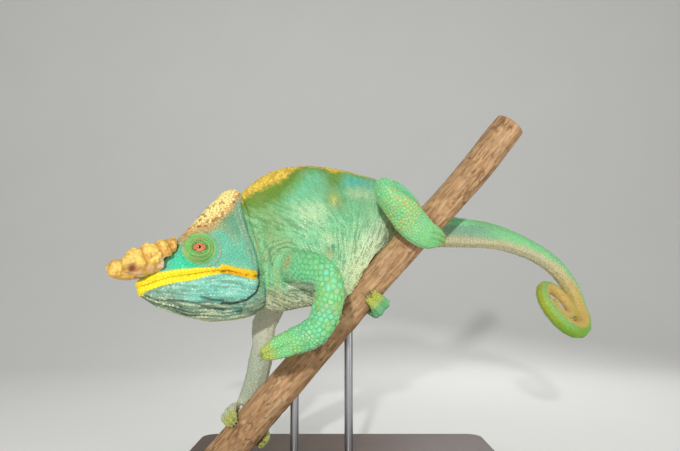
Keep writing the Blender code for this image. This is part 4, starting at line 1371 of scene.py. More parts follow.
# ---- rows and rings of fixed scales
def cast(origin, direction):
    """Where a ray meets the skin, or None."""
    hit = SkinState.tree.ray_cast(Vector(origin.tolist()), Vector(direction.tolist()))
    return np.array(hit[0][:]) if hit[0] is not None else None


def side_hits(places):
    """Points of the head's surface straight out from its middle plane, on both sides."""
    found = []
    for s, z in places:
        for side in SIDES.values():
            hit = cast(head_point(s, side * 60.0, z), -side * HEAD_LEFT)
            if hit is not None and head_place(hit[None])[1][0] * side > 3:
                found.append(hit)
    return found


def lip_rows():
    """Rows of lip scales: two above the mouth and three below it, evenly spaced along it."""
    found = []
    for share, edge_line, first, step in ((0.22, LIP_TOP, 8, 2.7), (0.72, LIP_TOP, 10, 2.9),
                                          (0.16, LIP_BOTTOM, 40, 2.6), (0.5, LIP_BOTTOM, 50, 2.7),
                                          (0.84, LIP_BOTTOM, 58, 2.7)):
        s = np.arange(first, 101.5, step)
        mouth, edge = line_at(MOUTH_LINE, s), line_at(edge_line, s)
        room = np.abs(edge - mouth) > (1.2 if share < 0.3 else 3.2)
        found += side_hits(np.column_stack([s, mouth + share * (edge - mouth)])[room])
    return found


TURRET_CIRCLES = (5.6, 6.7, 7.8, 8.9, 10.0, 11.1, 12.2)
TURRET_SPACING = 1.45


def turret_circles():
    """Circles of small scales round each eye."""
    found = []
    for side in SIDES.values():
        axis, centre = eye_axis(side), eye_centre(side)
        across, lift = round_axis(axis)
        for number, radius in enumerate(TURRET_CIRCLES):
            count = int(2 * math.pi * radius / TURRET_SPACING)
            tall = radius / float(lid_squeeze(radius))
            for k in range(count):
                angle = 2 * math.pi * (k + 0.5 * (number % 2)) / count
                start = centre + axis * 40 + radius * math.cos(angle) * across
                hit = cast(start + tall * math.sin(angle) * lift, -axis)
                if hit is not None and (hit - centre) @ axis > -3:
                    found.append(hit)
    return found


def crest_tubercles():
    """Raised scales along the crest over the eye and up the casque's edge, in two rows."""
    found = []
    line = np.array(CREST_LINE, float)
    steps = distances_along(line)
    for offset, spacing in ((0.0, 3.5), (3.3, 3.4)):
        for along in np.arange(1.5, steps[-1] - 6, spacing):
            s, z = np.interp(along, steps, line[:, 0]), np.interp(along, steps, line[:, 1])
            found += side_hits([(s + offset * 0.75, z + offset * 0.65)])
    return found


def limb_lattice():
    """Staggered oblique rows of large scales round the near foreleg, cast from its axis outwards."""
    path = np.array(LIMB_PATHS["fore_left"], float)
    steps = distances_along(path)
    found = []
    for first, last, step, wide in ((44, 86, 3.6, 4.9), (92, 122, 3.9, 5.0)):
        along = np.arange(first, last, step)
        centre = np.column_stack([np.interp(along, steps, path[:, k]) for k in range(3)])
        across, lift = round_axis(unit(np.gradient(centre, axis=0)), TRUNK_REAR + 0.3 * UP)
        middle = centre[len(along) // 2]
        around = [cast(middle, math.cos(a) * across[0] + math.sin(a) * lift[0])
                  for a in np.arange(12) * math.pi / 6]
        radius = np.median([np.linalg.norm(hit - middle) for hit in around if hit is not None])
        count = int(round(2 * math.pi * radius / wide))
        for row in range(len(along)):
            for k in range(count):
                angle = 2 * math.pi * (k + 0.5 * row) / count
                hit = cast(centre[row], math.cos(angle) * across[row] + math.sin(angle) * lift[row])
                if hit is not None and np.linalg.norm(hit - centre[row]) < 1.7 * radius:
                    found.append(hit)
    return found


# ---- the coat of scales
COAT_PIECES = {
    "scales_head": HEAD_NODES[:1], "scales_jaw": HEAD_NODES[1:2], "scales_turrets": HEAD_NODES[2:],
    **{"scales_" + node: (node,) for node in BODY_NODES}, "scales_tail": TAIL_NODES,
    **{"scales_" + limb: nodes[:3] for limb, nodes in LIMB_OF.items()},
}
# Scales set in rows, by kind: rise and greatest width. Kind 0 is every other scale.
ROW_SCALES = {1: (0.18, 3.0), 2: (0.18, 1.7), 3: (1.0, 3.3), 4: (0.34, 5.2)}
SPACING_ROUNDS = 14
SCALE_WAYS = 8
TINT_SHARED, TINT_EACH = 0.035, 0.015
CLAW_CLEARANCE = 2.8
LEAST_GAP = 0.55
MOST_SCALES = 3600


def scale_heights(points, region, spacing):
    """How far each scale rises, in millimetres."""
    height = np.full(len(points), 0.2)
    for nodes, rise in ((TAIL_NODES, 0.17), (LIMB_NODES, 0.26), (LIMB_OF["fore_right"], 0.12),
                        (TOE_NODES, 0.24)):
        height[in_nodes(region, nodes)] = rise
    return height * (0.6 + 0.4 * spacing / spacing.mean())


def build_scales():
    """The whole coat: rows of fixed scales, all the others scattered round them, and their colours."""
    sizes, state = bpy.context.scene.chameleon_sizes, SkinState
    rng = np.random.default_rng(SEED)
    edges = np.vstack([state.triangles[:, :2], state.triangles[:, 1:], state.triangles[:, ::2]])
    counts = neighbour_counts(edges, len(state.points))
    spacing = spacing_of(state.region)[:, None]
    for _ in range(SPACING_ROUNDS):
        spacing = neighbour_mean(spacing, edges, counts)
    spacing = spacing[:, 0] * sizes.scale_factor
    rows = (lip_rows(), turret_circles(), crest_tubercles(), limb_lattice())
    fixed = np.vstack(rows)
    loose = scattered(state.points, state.triangles, spacing, fixed, rng)
    kind = np.repeat([*ROW_SCALES, 0], [*map(len, rows), len(loose)])
    roots, normals, faces = on_surface(np.vstack([fixed, loose]), state.tree, state.normals, state.triangles)
    region = state.region[state.triangles[faces, 0]]
    wide = spacing[state.triangles[faces, 0]]
    keep = kept_roots(roots, kind)
    roots, normals, faces, region, wide, kind = (
        part[keep] for part in (roots, normals, faces, region, wide, kind))
    height = scale_heights(roots, region, wide)
    for number, (rise, width) in ROW_SCALES.items():
        height[kind == number], wide[kind == number] = rise, width
    colours, rims = paint(roots, normals, region)
    shared, each = rng.standard_normal((len(roots), 1)), rng.standard_normal((len(roots), 3))
    tint = 1.0 + TINT_SHARED * shared + TINT_EACH * each
    colours, rims = np.clip(colours * tint, 0, 1), np.clip(rims * tint, 0, 1)
    root_uv = chart_place(roots, state.chart[faces], state.place, state.scale)
    reach, right, ahead, angles = reach_of(roots, normals, 0.72 * wide, SCALE_WAYS)
    reach = reach - sizes.scale_gap / MM / 2
    material = painted_material("scales_satin", 0.66, 3000.0, 0.035, 0.06)
    tiles = (roots, normals, reach, right, ahead, height, colours, rims, root_uv)
    for name, nodes in COAT_PIECES.items():
        tile_group(name, in_nodes(region, nodes), tiles, angles, material)
    tile_group("scales_toes", in_nodes(region, TOE_NODES), tiles, angles, material)


def kept_roots(roots, kind):
    """Leaves out scales in the eye's opening, at the claws and where folds crowd them together."""
    across, out = eye_place(roots)
    keep = ~((across < LID_OPENING) & (out > 0))
    claws = np.array([root + step * ahead for root, ahead, _ in claw_roots() for step in (0.0, 2.5, 5.0)])
    keep &= nearest_distance(roots, claws) > CLAW_CLEARANCE
    tree = point_tree(roots)
    for i, root in enumerate(roots.tolist()):
        if not keep[i] or kind[i]:
            continue
        for _, other, distance in tree.find_n(root, 3):
            if other != i and distance < LEAST_GAP and keep[other]:
                keep[i] = False
    return keep


def tile_group(name, mine, tiles, angles, material):
    """Scales of one region, in as many pieces as keep each of them small."""
    index = np.flatnonzero(mine)
    index = index[np.argsort(trunk_place(tiles[0][index])[0], kind="stable")]
    pieces = -(-len(index) // MOST_SCALES)
    for number, some in enumerate(np.array_split(index, pieces), 1):
        obj = tile_mesh(name if pieces == 1 else f"{name}_{number}", [part[some] for part in tiles], angles)
        finish_piece(obj, material)


# ---- horns
HORN_GROWTH = 0.3
HORN_MESH = 0.55
HORN_SMOOTHING = 25
WART_SPACING, LUMP_SPACING, WART_RADIUS = 2.5, 5.2, 1.5
# Lobes of each horn: forward, out from the middle of the head, height, radius.
HORN_LOBES = {"left": ((107.5, 15.5, 190.3, 10.4), (95.6, 14.0, 195.2, 10.6), (86.0, 12.0, 199.5, 9.2),
                       (79.5, 10.5, 203.5, 8.0), (74.5, 9.0, 206.5, 6.6)),
              "right": ((115.5, 15.0, 184.6, 8.8), (103.0, 14.2, 187.0, 9.8), (91.0, 12.0, 194.0, 8.6),
                        (82.0, 9.5, 200.5, 6.0), (76.0, 8.0, 205.0, 4.2))}


def even_seeds(points, triangles, spacing, rng):
    """Points spread over a surface, one spacing apart."""
    return scattered(points, triangles, np.full(len(points), spacing), np.zeros((0, 3)), rng, 12)


def build_horns():
    """Both horns: lobes, lumps, warts, creases and the nostril, raised on the grown solids."""
    c = palette()
    rng = np.random.default_rng(SEED + 1)
    material = painted_material("horn_warty", 0.5, 1600.0, 0.12)
    for name, side in SIDES.items():
        obj = grown_solids("horn_flesh_" + name, ("horn_" + name,), HORN_GROWTH)
        remeshed(obj, HORN_MESH)
        mesh = obj.data
        points = smoothed(points_of(mesh), edges_of(mesh), HORN_SMOOTHING)
        s, _, z = head_place(points)
        back = np.clip(77.0 + 9.0 * fade(z, 192, 203) - s, 0, None)
        points += (back * 0.9)[:, None] * HEAD_FORWARD
        set_points(mesh, points)
        triangles, normals = triangles_of(mesh), normals_of(mesh)
        near_wart = nearest_distance(points, even_seeds(points, triangles, WART_SPACING, rng))
        near_lump = nearest_distance(points, even_seeds(points, triangles, LUMP_SPACING, rng))
        nostril = np.linalg.norm(points - head_point(110.8, side * 20.4, 184.9), axis=1)
        lobes = np.sort([radius - np.linalg.norm(points - head_point(forward, side * left, height), axis=1)
                         for forward, left, height, radius in HORN_LOBES[name]], axis=0)
        lobe, crease = lobes[-1], groove(lobes[-1] - lobes[-2], 2.2)
        upper = ease(z - line_at(((70, 199), (86, 192), (100, 186), (118, 178)), s), -3, 4)
        granular = upper * ease(nostril, 2, 5)
        rise = (np.clip(lobe, -2.8, 1.6) - crease) * upper + 0.9 * fade(near_lump, 0.5, 3.0) * upper
        rise += 0.36 * np.sqrt(np.clip(1 - (near_wart / WART_RADIUS) ** 2, 0, 1)) * (0.25 + 0.75 * granular)
        rise += 1.6 * (lattice_noise(points, 5.5, 43) - 0.6) + 0.9 * (lattice_noise(points, 2.4, 44) - 0.5)
        rise -= 1.8 * groove(nostril, 2.4)
        points = smoothed(points + normals * (rise - 0.45)[:, None], edges_of(mesh), 2)
        set_points(mesh, points)
        # Painted highlight on the lobes' tops, and painted shade between the lobes, between the warts and in
        # the nostril.
        base = washed(plain(c, "horn", points), c, (
            ("horn_light", 0.85 * ease(lobe, -0.2, 2.2) * upper),
            ("horn_orange", 0.6 * np.maximum(fade(lobe, -2.6, -0.4), 0.8 * crease) * upper),
            ("horn_orange", 0.38 * blotches(points, 5.0, 41, 0.46, 0.72)),
            ("horn_pale", 0.45 * (1 - upper) * blotches(points, 3.0, 42, 0.35, 0.7)),
            ("horn_dark", 0.32 * ease(near_wart, 1.0, WART_RADIUS) * (0.35 + 0.65 * granular)),
            ("horn_pale", 0.9 * fade(s, 85, 93) * fade(z, 188, 198)),
            ("nostril", groove(nostril, 3.9) * 1.2)))
        store_colour(mesh, "paint", np.clip(base, 0, 1))
        smooth_faces(mesh)
        finish_piece(obj, material, ("horn_" + name,))


# ---- eyes
def turned_solid(name, origin, axis, profile, ways):
    """A closed solid of revolution: (distance out, radius) rows between two poles."""
    across, lift = round_axis(axis, UP if abs(axis[2]) < 0.9 else TRUNK_REAR)
    cosines, sines = circle(ways)
    ring = cosines[:, None] * across + sines[:, None] * lift
    rings = [origin + axis * out + radius * ring for out, radius in profile[1:-1]]
    points = np.vstack([[origin + axis * profile[0][0]], *rings, [origin + axis * profile[-1][0]]])
    last = len(points) - 1
    faces = ring_faces(len(rings), ways, 1)
    for k in range(ways):
        after = (k + 1) % ways
        faces += [[0, 1 + after, 1 + k], [last - ways + k, last - ways + after, last]]
    return mesh_of(name, points, faces)


def build_eyes():
    """Both eyeballs, bulging at the cornea."""
    material = eye_material()
    for name, side in SIDES.items():
        rows = []
        for angle in np.linspace(0, math.pi, 61):
            radius = EYEBALL_RADIUS + 0.55 * math.exp(-((math.pi - angle) / 0.42) ** 2)
            rows.append((-radius * math.cos(angle), radius * math.sin(angle)))
        axis = eye_axis(side)
        centre = eye_centre(side) + axis * EYEBALL_OUT
        obj = turned_solid("eye_" + name, centre, axis, rows, 72)
        ways_out = unit(points_of(obj.data) - centre)
        store_value(obj.data, "polar", np.arccos(np.clip(ways_out @ axis, -1, 1)))
        finish_piece(obj, material, ("eyeball_" + name,))


# ---- claws
# Toe bundles round the branch: node, x, angle of the claws, width, thickness, claws, drift along it, turn.
GRIPS = (
    ("toes_front_right_inner", -88.0, 52.0, 10.5, 5.2, 3, 0.0, 1),
    ("toes_front_right_outer", -88.0, -178.0, 10.5, 5.2, 2, 0.0, -1),
    ("toes_hind_right_inner", 19.0, 104.0, 12.5, 6.4, 2, 4.0, -1),
    ("toes_hind_left_inner", 75.0, -85.0, 11.0, 5.6, 2, 0.0, -1),
    ("toes_hind_right_outer", 19.0, 304.0, 11.0, 4.6, 3, 0.0, 1),
)
# The other toe bundles: middle of the claws, forwards, across the claws, their bend, half-width, claws.
LOOSE_TOES = (
    ((-66.0, -71.2, 115.0), (-7.0, 0.0, -3.0), (3.0, 0.0, -7.0), (3.0, 0.0, -7.0), 5.0, 2),
    ((-66.0, -61.4, 115.0), (-7.0, 0.0, -3.0), (3.0, 0.0, -7.0), (3.0, 0.0, -7.0), 5.0, 3),
    ((95.0, -7.5, 213.6), (4.0, 6.0, -1.2), (4.8, 7.2, 52.0), (0.0, 0.0, -1.0), 5.6, 3),
)
GRIP_GAP = 0.8
CLAW_LENGTH, CLAW_BEND, CLAW_RADIUS, CLAW_TIP = 5.4, 2.6, 1.25, 0.06


def branch_at(x):
    """Centre, direction and radius of the branch where its axis has this x."""
    heights, radii = [row[:2] for row in BRANCH_AXIS], [row[::2] for row in BRANCH_AXIS]
    slope = (line_at(heights, x + 9) - line_at(heights, x - 9)) / 18
    return np.array([x, 0.0, line_at(heights, x)]), unit([1.0, 0.0, slope]), line_at(radii, x)


def spread_of(claws):
    """Places of the claws of one bundle, from -1 to 1 across it."""
    return [(i + 0.5) / claws * 2 - 1 for i in range(claws)]


def claw_roots():
    """Place, forward direction and bending direction of every claw."""
    found = []
    front = np.array([0.0, -1.0, 0.0])
    for _, x, angle, width, thickness, claws, drift, turn in GRIPS:
        centre, direction, radius = branch_at(x)
        upper = unit(np.cross([0.0, 1.0, 0.0], direction))
        upper = upper * np.sign(upper[2])
        around = math.radians(angle)
        out = math.cos(around) * upper + math.sin(around) * front
        ahead = turn * (-math.sin(around) * upper + math.cos(around) * front)
        middle = centre + direction * drift + out * (radius + GRIP_GAP + 0.62 * thickness)
        found += [(middle + direction * share * 0.8 * 0.58 * width, ahead, -out)
                  for share in spread_of(claws)]
    for middle, ahead, across, bend, half, claws in LOOSE_TOES:
        found += [(np.array(middle) + 0.8 * share * half * unit(across), unit(ahead), unit(bend))
                  for share in spread_of(claws)]
    return found


def build_claws():
    """Curved claws that taper to a point and darken on the way."""
    c = palette()
    ways, rows = 10, 9
    cosines, sines = circle(ways)
    share = np.linspace(0, 1, rows)
    radius = CLAW_RADIUS * (1 - share) ** 0.75 + CLAW_TIP
    tint = np.repeat(blend(plain(c, "claw", share), c["claw"] * 0.45, share), ways, axis=0)
    points, faces = [], []
    for root, ahead, down in claw_roots():
        across = unit(np.cross(ahead, down))
        down = np.cross(across, ahead)
        forwards = CLAW_LENGTH * (share[:, None] - 0.25) * ahead
        middle = root + forwards + CLAW_BEND * (share ** 2)[:, None] * down
        ring = cosines[:, None] * 0.8 * across + sines[:, None] * down
        faces += tube_faces(rows, ways, len(points) * rows * ways)
        points.append((middle[:, None] + radius[:, None, None] * ring).reshape(-1, 3))
    obj = mesh_of("claws", np.vstack(points), faces)
    store_colour(obj.data, "paint", np.tile(tint, (len(points), 1)))
    finish_piece(obj, painted_material("claw_horny", 0.32, 900.0, 0.03))


# ---- branch
BARK_STEPS, BARK_WAYS = 420, 120
# Radius on which the pattern of the bark is laid out.
GRID_RADIUS = 15.0
# Rings of the sawn end, as shares of its radius.
CUT_RINGS = (0.94, 0.85, 0.7, 0.5, 0.3, 0.12)


def bark_relief(grid):
    """Fibres, fissures, broad lumps, fine grain and plates of the bark."""
    wander = lattice_noise(grid * (0.4, 0.3, 0.3), 9.0, 50)[:, None] - 0.5
    bent = grid + np.array([0.0, 2.2, 2.2]) * wander
    fibre = lattice_noise(bent * (0.09, 1.0, 1.0), 1.15, 51) - 0.5
    crack = np.abs(lattice_noise(bent * (0.22, 1.0, 1.0), 2.6, 55) - 0.5)
    fissure = fade(crack, 0.015, 0.1) * blotches(grid, 11.0, 56, 0.42, 0.62)
    coarse = lattice_noise(grid, 26.0, 52) - 0.5
    fine = lattice_noise(grid, 1.3, 53) - 0.5
    plates = lattice_noise(grid * (0.25, 1.0, 1.0), 8.0, 54) - 0.5
    return fibre, fissure, coarse, fine, plates


def build_branch():
    """Bark all along the branch, and rings of bare wood on its sawn upper end."""
    c = palette()
    steps, ways = BARK_STEPS, BARK_WAYS
    rows = np.array(BRANCH_AXIS, float)
    share = distances_along(rows[:, :2])
    along = np.linspace(0, share[-1], steps)
    centre = np.column_stack([np.interp(along, share, rows[:, 0]), np.zeros(steps),
                              np.interp(along, share, rows[:, 1])])
    for _ in range(200):
        centre[1:-1] = (centre[:-2] + centre[2:]) / 2 * 0.5 + centre[1:-1] * 0.5
    radius = np.interp(along, share, rows[:, 2])
    upper = unit(np.cross(unit(np.gradient(centre, axis=0)), [0.0, 1.0, 0.0]))
    cosines, sines = circle(ways)
    way = cosines[None, :, None] * upper[:, None] + sines[None, :, None] * np.array([0.0, -1.0, 0.0])
    grid = np.broadcast_arrays(along[:, None], GRID_RADIUS * cosines, GRID_RADIUS * sines)
    grid = np.stack(grid, axis=-1).reshape(-1, 3)
    fibre, fissure, coarse, fine, plates = bark_relief(grid)
    lump = -0.45 + 0.9 * coarse + 0.5 * plates + 0.45 * fibre + 0.14 * fine - 0.5 * fissure
    points = centre[:, None] + way * (radius[:, None] + lump.reshape(steps, ways))[:, :, None]
    points = points.reshape(-1, 3)
    points[:, 2] = np.maximum(points[:, 2], BASE_TOP + 0.25)
    speckle = ease(lattice_noise(grid * (0.5, 1.0, 1.0), 2.2, 57), 0.6, 0.74)
    tone = washed(plain(c, "bark", points), c, (
        ("bark_pale", 0.45 * ease(fibre, 0.02, 0.3)),
        ("bark_dark", 0.34 * ease(-fibre, 0.05, 0.32)),
        ("bark_dark", 0.45 * speckle),
        (c["bark_dark"] * 0.75, 0.7 * fissure),
        ("bark_pale", 0.22 * ease(plates, 0.05, 0.35)),
        ("bark_dark", 0.16 * ease(coarse + 0.4 * fine, 0.12, 0.4))))
    last = points[-ways:]
    middle = last.mean(0)
    rings = [middle + (last - middle) * level for level in CUT_RINGS]
    tints = [plain(c, "cut_wood", last) * (0.8 if number % 2 else 1.0) for number in range(len(rings))]
    end = (steps + len(rings)) * ways
    faces = [[a, d, c, b] for a, b, c, d in ring_faces(steps + len(rings), ways)]
    faces += [[*range(end - 1, end - ways - 1, -1)], [*range(ways)]]
    obj = mesh_of("branch_bark", np.vstack([points, *rings]), faces)
    store_colour(obj.data, "paint", np.clip(np.vstack([tone, *tints]), 0, 1))
    finish_piece(obj, bark_material(), ("perch_branch",))


# ---- stand
BASE_TOP = 14.0
BASE_SIZE = (300.0, 190.0)
BASE_CORNER = 18.0
CORNER_STEPS = 16
SHARP_TURN = math.radians(32)
ROD_PLACES = (-44.0, 6.0)
ROD_RADIUS = 3.95
# Height and radius, from the foot up.
COLLAR_PROFILE = ((14.3, 0), (14.3, 8.6), (14.7, 9.0), (15.3, 9.0), (15.6, 8.5), (17.8, 8.2), (18.8, 7.6),
                  (19.3, 6.6), (19.3, 0))


def build_stand():
    """The wooden base with rounded corners and edges, and the steel rods in their collars."""
    outline = []
    inner = (BASE_SIZE[0] / 2 - BASE_CORNER, BASE_SIZE[1] / 2 - BASE_CORNER)
    for corner, (sx, sy) in enumerate(((1, 1), (-1, 1), (-1, -1), (1, -1))):
        for k in range(CORNER_STEPS + 1):
            angle = math.radians(90 * (corner + k / CORNER_STEPS))
            outline.append((sx * inner[0], sy * inner[1], math.cos(angle), math.sin(angle)))
    outline = np.array(outline)
    profile = [(1.0, 0.0), (0.3, 0.35), (0.0, 1.0), (0.0, 8.6), (0.7, 9.0), (0.9, 9.4)]
    profile += [(0.9 + 2.6 * math.sin(a) ** 1.2, BASE_TOP - 4.2 * math.cos(a))
                for a in np.linspace(0, math.pi / 2, 9)]
    rings = [np.column_stack([outline[:, :2] + (BASE_CORNER - inset) * outline[:, 2:],
                              np.full(len(outline), height)]) for inset, height in profile]
    obj = mesh_of("base_board", np.vstack(rings), tube_faces(len(rings), len(outline)))
    crisp(obj)
    finish_piece(obj, wood_material(), ("stand_base",))
    steel = steel_material()
    for number, x in enumerate(ROD_PLACES, 1):
        centre, _, radius = branch_at(x)
        top = centre[2] - 0.4 * radius
        rod = ((COLLAR_PROFILE[0][0], 0), (COLLAR_PROFILE[0][0], ROD_RADIUS), (top - 0.5, ROD_RADIUS),
               (top, ROD_RADIUS - 0.45), (top, 0))
        for label, rows in (("rod", rod), ("collar", COLLAR_PROFILE)):
            piece = turned_solid(f"steel_{label}_{number}", np.array([x, 0.0, 0.0]), UP, rows, 64)
            crisp(piece)
            finish_piece(piece, steel, (f"stand_{label}_{number}",))


def crisp(obj):
    """Sharp edges where faces turn by more than SHARP_TURN."""
    obj.data.set_sharp_from_angle(angle=SHARP_TURN)


# ---- studio
# Light, place, what it points at, power, size.
LIGHTS = (("key", (-190, -1500, 640), (-20, 0, 190), 16.6, 70),
          ("fill", (900, -700, 260), (0, 0, 180), 2.2, 600),
          ("rim", (300, 720, 640), (20, 0, 210), 3.0, 420))
WORLD_STRENGTH = 0.42
CAMERA_PLACE = (-0.002, -0.560, 0.170)
CAMERA_TILT = math.radians(96.0)
CAMERA_LENS, CAMERA_SENSOR, CAMERA_NEAREST = 31.2, 36.0, 0.01
# The floor: half its width, its front, where its bend starts, the bend's radius and the wall's top.
FLOOR_HALF, FLOOR_FRONT, FLOOR_BEND, BEND_RADIUS, WALL_TOP = 6000.0, -3000.0, 700.0, 900.0, 4200.0


def build_stage():
    """Floor that bends up into a wall, an even pale world, three soft lights and the camera."""
    scene = bpy.context.scene
    profile = [(FLOOR_FRONT, 0.0), (FLOOR_BEND, 0.0)]
    profile += [(FLOOR_BEND + BEND_RADIUS * math.sin(a), BEND_RADIUS - BEND_RADIUS * math.cos(a))
                for a in np.linspace(0.05, math.pi / 2, 24)]
    profile.append((FLOOR_BEND + BEND_RADIUS, WALL_TOP))
    points = [(x, y, z) for y, z in profile for x in (-FLOOR_HALF, FLOOR_HALF)]
    faces = [(2 * k, 2 * k + 1, 2 * k + 3, 2 * k + 2) for k in range(len(profile) - 1)]
    floor = mesh_of("studio_floor", points, faces)
    floor.data.materials.append(stage_material())
    world = bpy.data.worlds.new("studio")
    world.use_nodes = True
    background = world.node_tree.nodes["Background"]
    background.inputs["Color"].default_value = (*scene.chameleon_colours.studio[:3], 1.0)
    background.inputs["Strength"].default_value = WORLD_STRENGTH
    scene.world = world
    for name, place, target, power, size in LIGHTS:
        data = bpy.data.lights.new("light_" + name, "AREA")
        data.energy = power
        data.size = size * MM
        light = bpy.data.objects.new("light_" + name, data)
        light.location = Vector(place) * MM
        light.rotation_euler = (Vector(target) - Vector(place)).to_track_quat("-Z", "Y").to_euler()
        scene.collection.objects.link(light)
    data = bpy.data.cameras.new("camera")
    data.lens, data.sensor_width, data.clip_start = CAMERA_LENS, CAMERA_SENSOR, CAMERA_NEAREST
    camera = bpy.data.objects.new("camera", data)
    camera.location = CAMERA_PLACE
    camera.rotation_euler = (CAMERA_TILT, 0.0, 0.0)
    scene.collection.objects.link(camera)
    scene.camera = camera
    scene.view_settings.view_transform = "Standard"


# ---- settings
def length(label, text, value):
    """A length property, given in millimetres."""
    return bpy.props.FloatProperty(name=label, description=text, default=value * MM, min=0.0, unit="LENGTH",
                                   precision=5)


def colour(label, text, *parts):
    """A colour property, given in 0 to 255 parts."""
    return bpy.props.FloatVectorProperty(name=label, description=text, default=srgb(*parts), size=3,
                                         min=0.0, max=1.0, subtype="COLOR")


def scale_width(label, place, value):
    return length(label, "Mean width of a scale of the " + place, value)


class ChameleonSizes(bpy.types.PropertyGroup):
    coat_depth: length("Coat depth", "How far the skin lies inside the packed flesh", 0.5)
    head_scale: scale_width("Head scale", "cheek and casque", 2.5)
    jaw_scale: scale_width("Jaw scale", "lower jaw and throat", 2.2)
    turret_scale: scale_width("Eyelid scale", "eye turrets", 1.7)
    body_scale: scale_width("Body scale", "neck, trunk and hips", 2.2)
    arm_scale: scale_width("Arm scale", "forearms", 4.3)
    leg_scale: scale_width("Leg scale", "hind legs", 3.1)
    toe_scale: scale_width("Toe scale", "toes", 2.3)
    tail_scale: scale_width("Tail scale", "tail's base", 2.4)
    scale_gap: length("Gap", "Width of the bare skin between two scales", 0.22)
    scale_factor: bpy.props.FloatProperty(name="Scale size factor", description="Resizes all the scales",
                                          default=1.0, min=0.5, max=3.0)


